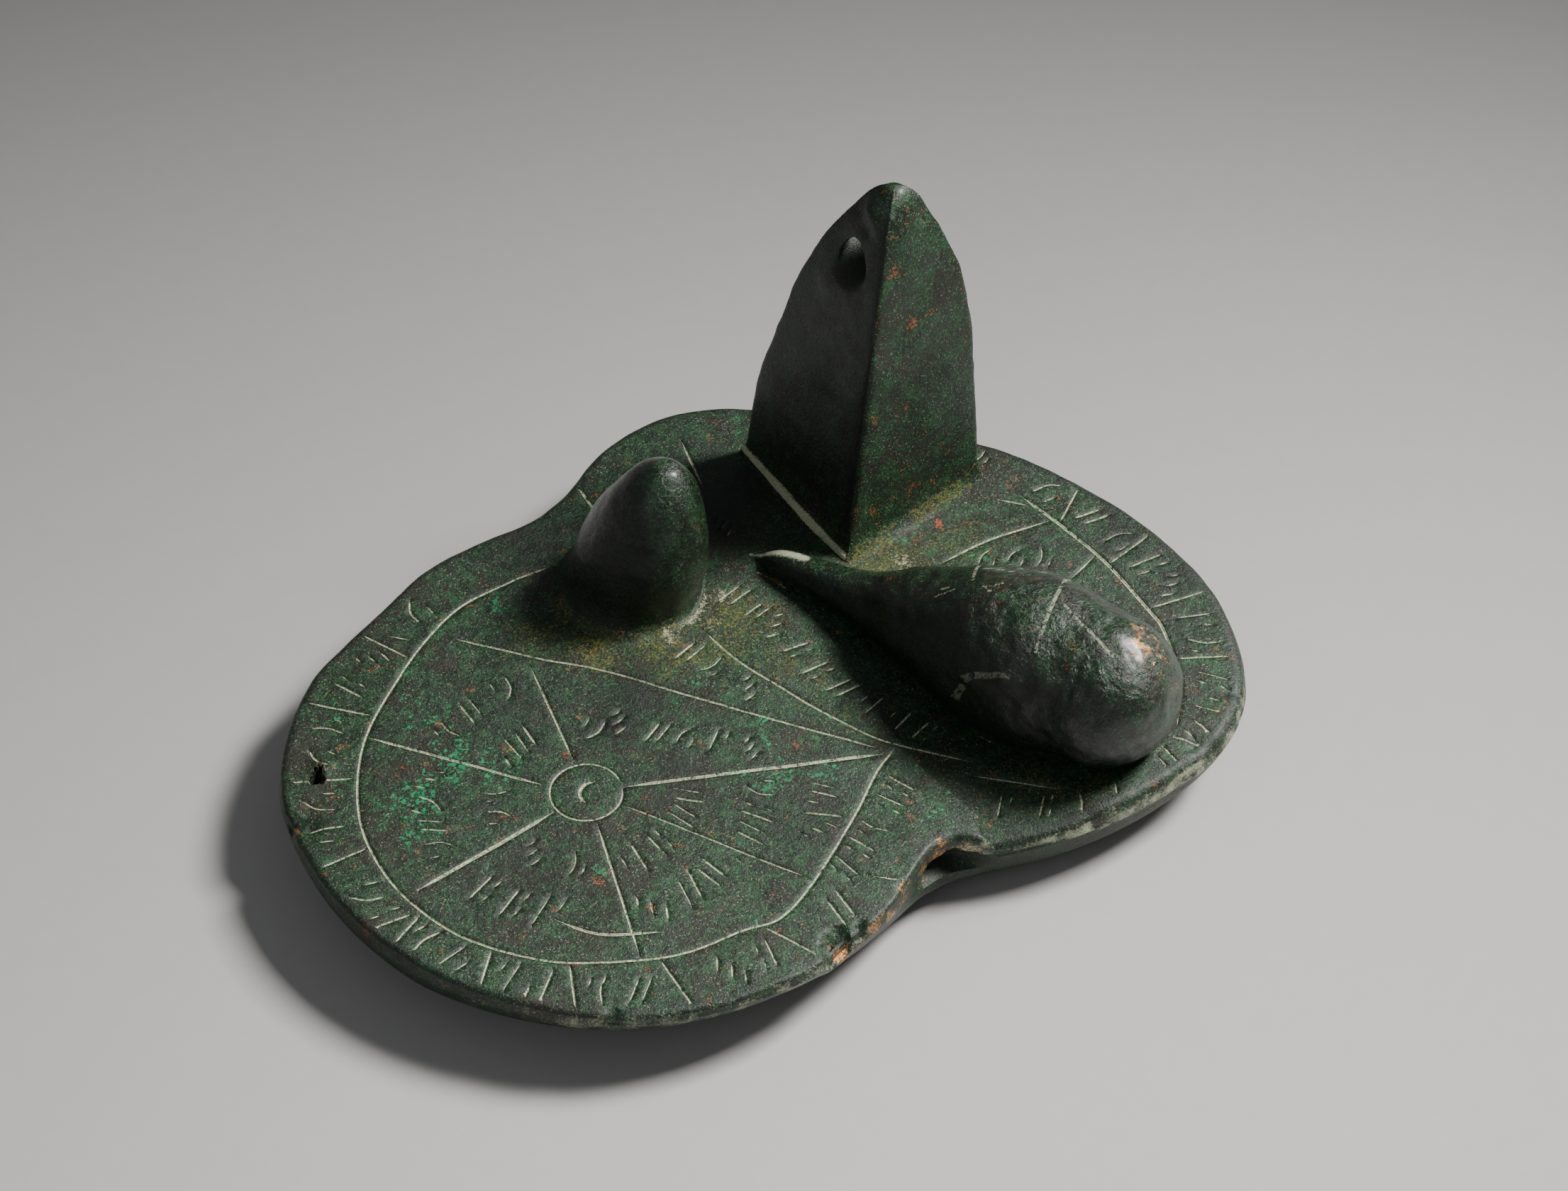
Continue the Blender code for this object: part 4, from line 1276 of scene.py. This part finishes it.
    polish = np.where(nub | bladder, 1.0, np.where(pyramid, 0.3, 0.0)) * blend_step(over, 0.6, 3.0)
    polish = np.maximum(polish, 0.8 * sheen_and_rub * wall)
    # Painted shade and shadow: the swellings' flanks away from the light, the pyramid's left face with a darker strip
    # by its front arris, the wall and underside, the cord hole's inside, and the face's dark patches, some of them the
    # pyramid's painted shadow.
    away_from_light = blend_step(0.42 - towards_light - 0.75 * up, -0.1, 0.4)
    shade = patches(flat, DARK_PATCHES) * (face | wall)
    shade = np.maximum(shade, (0.35 + 0.6 * away_from_light) * (nub | bladder) * blend_step(over, 0.3, 2.5))
    shade = np.maximum(shade, left_side * (0.55 + 0.45 * blend_step(sides, 2.88, 2.94)) * blend_step(over, 1.0, 6.0))
    shade = np.maximum(shade, 0.5 * wall * (1 - sheen_and_rub))
    shade = np.where(kinds == 5, 0.8, shade)
    emerald = np.maximum(patches(flat, EMERALD_PATCHES) * (face | (over < 1)), 0.16 * face)
    emerald = np.maximum(emerald, 0.1 * right_side * blend_step(coarse, 0.4, 0.65))
    values = (stroke_mask, thread, wear, sheen_and_rub, deposit, cream, polish, rust, shade, emerald)
    return {name: np.clip(value, 0, 1) for name, value in zip(BAKED_MASKS, values)}


def build_liver(sizes):
    """The whole casting as one closed skin with its masks."""
    skin = Skin()
    seat = swelling_seat(sizes)
    rim, rim_numbers = add_rim(skin, sizes)
    nub, nub_numbers = add_nub(skin, seat)
    bladder, bladder_numbers = add_bladder(skin, seat)
    pyramid, pyramid_numbers = add_pyramid(skin, seat)
    loops = [
        (rim[:, :2], np.array(FLAT_CENTRE)),
        (nub[:, :2], nub[:, :2].mean(axis=0)),
        (bladder[:, :2], bladder_ribs(8, 2)[0][8, :2]),
        (pyramid[:, :2], np.array(PYRAMID_CORNERS).mean(axis=0)),
    ]
    numbers = [rim_numbers, nub_numbers, bladder_numbers, pyramid_numbers]
    strokes = trimmed(face_strokes(sizes), loops)
    cut_numbers, cuts = add_face(skin, sizes, loops, numbers, strokes)
    points, kinds, sides, place = skin.packed()
    mesh = skin.mesh("bronze_liver", points, place)
    normals = np.empty(len(points) * 3, np.float32)
    mesh.vertex_normals.foreach_get("vector", normals)
    feet = [loop for loop, _ in loops[1:]]
    rim_line = outline(720, OUTLINE_SOFTENING)
    masks = patina_masks(points, kinds, sides, normals.reshape(-1, 3), place[cut_numbers], cuts, feet, rim_line)
    for name, values in masks.items():
        attribute = mesh.attributes.new(name, "FLOAT", "POINT")
        attribute.data.foreach_set("value", values.astype(np.float32))
    mesh.shade_smooth()
    mesh.set_sharp_from_angle(angle=math.radians(42))
    liver = bpy.data.objects.new("bronze_liver", mesh)
    bpy.context.scene.collection.objects.link(liver)
    return liver


# ---------------------------------------------------------------------------------------------------------------------
# The patina
# ---------------------------------------------------------------------------------------------------------------------


class Value:
    """A number from a socket. Arithmetic on it adds the Math node that works it out."""

    def __init__(self, nodes, socket):
        self.nodes = nodes
        self.socket = socket

    def math(self, operation, first, second=None, third=None):
        inputs = {0: first}
        if second is not None:
            inputs[1] = second
        if third is not None:
            inputs[2] = third
        return self.nodes.node("ShaderNodeMath", {"operation": operation}, inputs)

    def __add__(self, other):
        return self.math("ADD", self, other)

    def __sub__(self, other):
        return self.math("SUBTRACT", self, other)

    def __mul__(self, other):
        return self.math("MULTIPLY", self, other)

    def __radd__(self, other):
        return self.math("ADD", other, self)

    def __rsub__(self, other):
        return self.math("SUBTRACT", other, self)

    def __rmul__(self, other):
        return self.math("MULTIPLY", other, self)

    def above(self, low, high):
        """0 where the value is under low, 1 where it is over high, and a smooth S between."""
        return self.nodes.node(
            "ShaderNodeMapRange", {"interpolation_type": "SMOOTHSTEP"},
            {"Value": self, "From Min": low, "From Max": high, "To Min": 0.0, "To Max": 1.0},
        )

    def largest(self, other):
        return self.math("MAXIMUM", self, other)

    def smallest(self, other):
        return self.math("MINIMUM", self, other)


class Nodes:
    """Adds nodes to one material."""

    def __init__(self, material):
        self.tree = material.node_tree

    def node(self, kind, settings=None, inputs=None, output=0):
        """A node of a type: its settings are made first, then its sockets take their values or links."""
        made = self.tree.nodes.new(kind)
        for name, value in (settings or {}).items():
            setattr(made, name, value)
        for name, value in (inputs or {}).items():
            if isinstance(value, Value):
                self.tree.links.new(value.socket, made.inputs[name])
            else:
                made.inputs[name].default_value = value
        return Value(self, made.outputs[output])

    def mask(self, name):
        return self.node("ShaderNodeAttribute", {"attribute_name": name}, output="Fac")

    def noise(self, place, size, detail=3.0, roughness=0.55, distortion=0.0, output="Fac"):
        """Noise whose grain is the given size in metres."""
        return self.node(
            "ShaderNodeTexNoise", None,
            {"Vector": place, "Scale": 1 / size, "Detail": detail, "Roughness": roughness, "Distortion": distortion},
            output,
        )

    def mix(self, factor, first, second, blend="MIX"):
        """One colour laid over another by a factor."""
        return self.node(
            "ShaderNodeMix", {"data_type": "RGBA", "blend_type": blend},
            {0: factor, 6: as_colour(first), 7: as_colour(second)}, output=2,
        )


def as_colour(value):
    return value if isinstance(value, Value) else (*value, 1.0)


def patina(colours, sizes):
    """Patinated bronze. Mottled greens lie over brown and black, emerald flakes and olive and cream crusts over them,
    then painted shade and shadow in black, red oxide, worn metal with a painted highlight on the gall bladder, a pale
    edge of metal worn by rubbing with a painted sheen and glints, and the earth in the cuts. The masks of the skin say
    where, and noise breaks them up."""
    material = bpy.data.materials.new("patinated_bronze")
    material.use_nodes = True
    nodes = Nodes(material)
    place = nodes.node("ShaderNodeTexCoord", output="Object")
    masks = {name: nodes.mask(name) for name in BAKED_MASKS}
    broad = nodes.noise(place, 8 * MM, 5, 0.62)
    patchy = nodes.noise(place, 2.6 * MM, 6, 0.7)
    blotch = nodes.noise(place, 1.15 * MM, 5, 0.72, 0.8)
    grain = nodes.noise(place, 0.42 * MM, 4, 0.75)
    speck = nodes.noise(place, 0.19 * MM, 2, 0.6)
    shifted = nodes.node("ShaderNodeVectorMath", {"operation": "ADD"}, {0: place, 1: (0.31, 0.17, 0.23)})
    dust = nodes.noise(shifted, 0.27 * MM, 2, 0.6)
    # Where no painted shade lies.
    lit = 1 - masks["shade"]

    tone = (grain * 0.5 + patchy * 0.5).above(0.46, 0.56)
    base = nodes.mix(tone, colours.green, colours.moss)
    base = nodes.mix((blotch * 0.45 + speck * 0.55).above(0.48, 0.56) * 0.8, base, colours.black)
    base = nodes.mix((broad * 0.6 + blotch * 0.4).above(0.505, 0.56) * 0.68, base, colours.brown)
    base = nodes.mix((patchy * 0.6 + blotch * 0.4).above(0.54, 0.58) * 0.4, base, colours.black)
    base = nodes.mix(dust.above(0.61, 0.68) * lit * 0.26, base, colours.fill)

    warp = nodes.node("ShaderNodeVectorMath", {"operation": "SCALE"}, {
        0: nodes.noise(place, 0.5 * MM, 3, output="Color"), "Scale": 0.55 * MM,
    })
    cells = nodes.node(
        "ShaderNodeTexVoronoi", {"feature": "F1"},
        {"Vector": nodes.node("ShaderNodeVectorMath", {"operation": "ADD"}, {0: place, 1: warp}),
         "Scale": 1 / (0.42 * MM)}, output="Color",
    )
    cell = nodes.node("ShaderNodeSeparateColor", None, {0: cells}, output="Red")
    flakes = (masks["emerald"] * 0.27 + patchy * 0.75 + cell * 0.38).above(0.87, 0.89) * grain.above(0.36, 0.42)
    emerald = nodes.mix(cell.above(0.3, 1.0), tuple(0.4 * c for c in colours.emerald), colours.emerald)
    base = nodes.mix(flakes * lit * 0.9, base, emerald)

    crust = (masks["deposit"] * 0.22 + grain * 0.5 + speck * 0.3 + blotch * 0.3).above(0.73, 0.81)
    olive = nodes.mix(dust.above(0.42, 0.6), tuple(0.35 * c for c in colours.olive), colours.olive)
    base = nodes.mix(crust * masks["deposit"].above(0.05, 0.3) * 0.85, base, olive)
    powder = (masks["cream"] * 0.5 + grain * 0.5 + dust * 0.35).above(0.78, 0.93) * masks["cream"].above(0.05, 0.25)
    base = nodes.mix(powder * 0.85, base, nodes.mix(speck.above(0.36, 0.56), colours.olive, colours.cream))
    # Painted shade and shadow: black laid where the shade mask says.
    base = nodes.mix(masks["shade"] * (0.93 - 0.5 * dust.above(0.56, 0.66)), base, colours.black)

    rusty = (masks["rust"] * 0.5 + blotch * 0.55 + dust * 0.35).above(0.87, 0.95) * masks["rust"].above(0.05, 0.3)
    stray = (nodes.noise(shifted, 2.9 * MM, 3, 0.6) * 0.6 + dust * 0.4).above(0.62, 0.64) * lit
    base = nodes.mix(rusty.largest(stray * 0.7) * 0.85, base, colours.rust)
    # Bare copper on worn edges, and the painted highlight on the gall bladder's top.
    bare = (masks["wear"] * 0.5 + grain * 0.5 + speck * 0.35).above(0.77, 0.88) * masks["wear"].above(0.05, 0.25)
    metal = nodes.mix(dust.above(0.42, 0.6), tuple(0.45 * c for c in colours.copper), colours.copper)
    base = nodes.mix(bare * 0.9, base, metal)
    # The pale edge: painted sheen and glints with metal worn by rubbing and the kerb, in the stroke fill's colour and a
    # little smoother.
    sheen_and_rubbed = (masks["sheen_and_rub"] * 0.7 + grain * 0.4 + dust * 0.3).above(0.62, 0.92)
    base = nodes.mix(sheen_and_rubbed * 0.62, base, colours.fill)
    cut = masks["stroke"].above(0.16, 0.34) * (grain * 0.5 + blotch * 0.5).above(0.4, 0.5)
    thread = masks["thread"].above(0.62, 0.78) * (grain * 0.5 + patchy * 0.5).above(0.44, 0.52)
    filled = cut.largest(thread * 0.55)
    earth = nodes.mix(dust.above(0.4, 0.56), tuple(0.5 * c for c in colours.fill), colours.fill)
    base = nodes.mix(filled * (0.5 + 0.5 * lit), base, earth)

    matt = crust * masks["deposit"] * 0.3 + powder * 0.35 + filled * 0.3
    rough = 0.46 + (grain - 0.5) * 0.6 + (broad - 0.5) * 0.3 + matt - masks["polish"] * 0.16 - sheen_and_rubbed * 0.12
    wrinkle = nodes.noise(place, 0.95 * MM, 5, 0.62, 1.4)
    pits = grain * 0.42 + blotch * 0.5 + speck * 0.16 + flakes * 0.05 + crust * 0.05
    height = pits * (1 - masks["polish"] * 0.4) + wrinkle * masks["polish"] * 0.75
    bump = nodes.node(
        "ShaderNodeBump", None, {"Height": height, "Strength": 1.0, "Distance": sizes.pitting * 5}, output="Normal"
    )
    shader = nodes.tree.nodes["Principled BSDF"]
    links = {
        "Base Color": base, "Roughness": rough.largest(0.18).smallest(0.95), "Metallic": bare * 0.85,
        "Normal": bump, "Coat Weight": masks["polish"] * (lit * 0.6 + 0.4) * 0.42,
    }
    for name, value in links.items():
        nodes.tree.links.new(value.socket, shader.inputs[name])
    shader.inputs["Specular IOR Level"].default_value = 0.5
    shader.inputs["Coat Roughness"].default_value = 0.22
    return material


def plain_material(name, colour_value, roughness, colours_spread):
    """A matt surface with a faint mottling."""
    material = bpy.data.materials.new(name)
    material.use_nodes = True
    nodes = Nodes(material)
    place = nodes.node("ShaderNodeTexCoord", output="Object")
    faint = nodes.noise(place, 3 * MM, 3)
    low = tuple(c * (1 - colours_spread) for c in colour_value)
    shader = nodes.tree.nodes["Principled BSDF"]
    nodes.tree.links.new(nodes.mix(faint, low, tuple(colour_value)).socket, shader.inputs["Base Color"])
    shader.inputs["Roughness"].default_value = roughness
    return material


# ---------------------------------------------------------------------------------------------------------------------
# Operators and the panel
# ---------------------------------------------------------------------------------------------------------------------


class LIVER_OT_casting(bpy.types.Operator):
    """Builds the liver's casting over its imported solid"""

    bl_idname = "liver.casting"
    bl_label = "Casting"

    def execute(self, context):
        liver = build_liver(context.scene.liver_sizes)
        liver.data.materials.append(patina(context.scene.liver_patina, context.scene.liver_sizes))
        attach(liver, "root")
        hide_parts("liver")
        return {"FINISHED"}


# The key light: its place, what it looks at and its size, in metres; and the fill light's place
KEY_LIGHT = ((0.41, 0.05, 0.465), (-0.06, -0.12, 0), 0.17)
FILL_LIGHT_PLACE = (-0.5, -0.5, 0.5)


def soft_light(name, place, target, size, power, spread, tint):
    """A square area light that looks at its target and spreads its light over an angle in degrees."""
    data = bpy.data.lights.new(name, "AREA")
    data.size = size
    data.energy = power
    data.spread = math.radians(spread)
    data.color = tint
    light = bpy.data.objects.new(name, data)
    light.location = place
    light.rotation_euler = (Vector(target) - Vector(place)).to_track_quat("-Z", "Y").to_euler()
    bpy.context.scene.collection.objects.link(light)
    return light


class LIVER_OT_stage(bpy.types.Operator):
    """Lays the floor and sets the lights and the camera"""

    bl_idname = "liver.stage"
    bl_label = "Stage"

    def execute(self, context):
        stage = context.scene.liver_stage
        half = 6.0
        mesh = bpy.data.meshes.new("floor")
        mesh.from_pydata([(-half, -half, 0), (half, -half, 0), (half, half, 0), (-half, half, 0)], [], [(0, 1, 2, 3)])
        floor = bpy.data.objects.new("floor", mesh)
        context.scene.collection.objects.link(floor)
        mesh.materials.append(plain_material("floor", stage.floor, 0.9, 0.06))
        target = Vector(stage.target)
        soft_light("key_light", *KEY_LIGHT, stage.key_power, 56, (1.0, 0.985, 0.955))
        soft_light("fill_light", FILL_LIGHT_PLACE, target, 0.6, stage.fill_power, 160, (0.95, 0.98, 1.0))
        world = bpy.data.worlds.new("room")
        world.use_nodes = True
        world.node_tree.nodes["Background"].inputs["Color"].default_value = (0.95, 0.98, 1.0, 1)
        world.node_tree.nodes["Background"].inputs["Strength"].default_value = stage.sky
        context.scene.world = world
        data = bpy.data.cameras.new("camera")
        data.lens_unit = "FOV"
        data.angle = stage.view_angle
        data.clip_start, data.clip_end = 0.01, 20
        camera = bpy.data.objects.new("camera", data)
        flat = math.cos(stage.elevation)
        back = Vector((math.sin(stage.azimuth) * flat, -math.cos(stage.azimuth) * flat, math.sin(stage.elevation)))
        camera.location = target + back * stage.distance
        camera.rotation_euler = (-back).to_track_quat("-Z", "Y").to_euler()
        context.scene.collection.objects.link(camera)
        context.scene.camera = camera
        return {"FINISHED"}


class LIVER_PT_panel(bpy.types.Panel):
    """Lists the liver's operators"""

    bl_idname = "LIVER_PT_panel"
    bl_label = "Bronze Liver"
    bl_space_type = "VIEW_3D"
    bl_region_type = "UI"
    bl_category = "Liver"

    def draw(self, context):
        layout = self.layout
        for operator in OPERATORS:
            layout.operator(operator.bl_idname)
        for settings in (context.scene.liver_sizes, context.scene.liver_patina, context.scene.liver_stage):
            box = layout.box()
            for name in settings.__annotations__:
                box.prop(settings, name)


OPERATORS = (LIVER_OT_casting, LIVER_OT_stage)
CLASSES = (LiverSizes, PatinaColours, StageSettings, *OPERATORS, LIVER_PT_panel)


def register():
    for item in CLASSES:
        bpy.utils.register_class(item)
    bpy.types.Scene.liver_sizes = PointerProperty(type=LiverSizes)
    bpy.types.Scene.liver_patina = PointerProperty(type=PatinaColours)
    bpy.types.Scene.liver_stage = PointerProperty(type=StageSettings)


def unregister():
    del bpy.types.Scene.liver_stage
    del bpy.types.Scene.liver_patina
    del bpy.types.Scene.liver_sizes
    for item in reversed(CLASSES):
        bpy.utils.unregister_class(item)


def main():
    register()
    bpy.ops.liver.casting()
    bpy.ops.liver.stage()


if __name__ == "__main__":
    main()
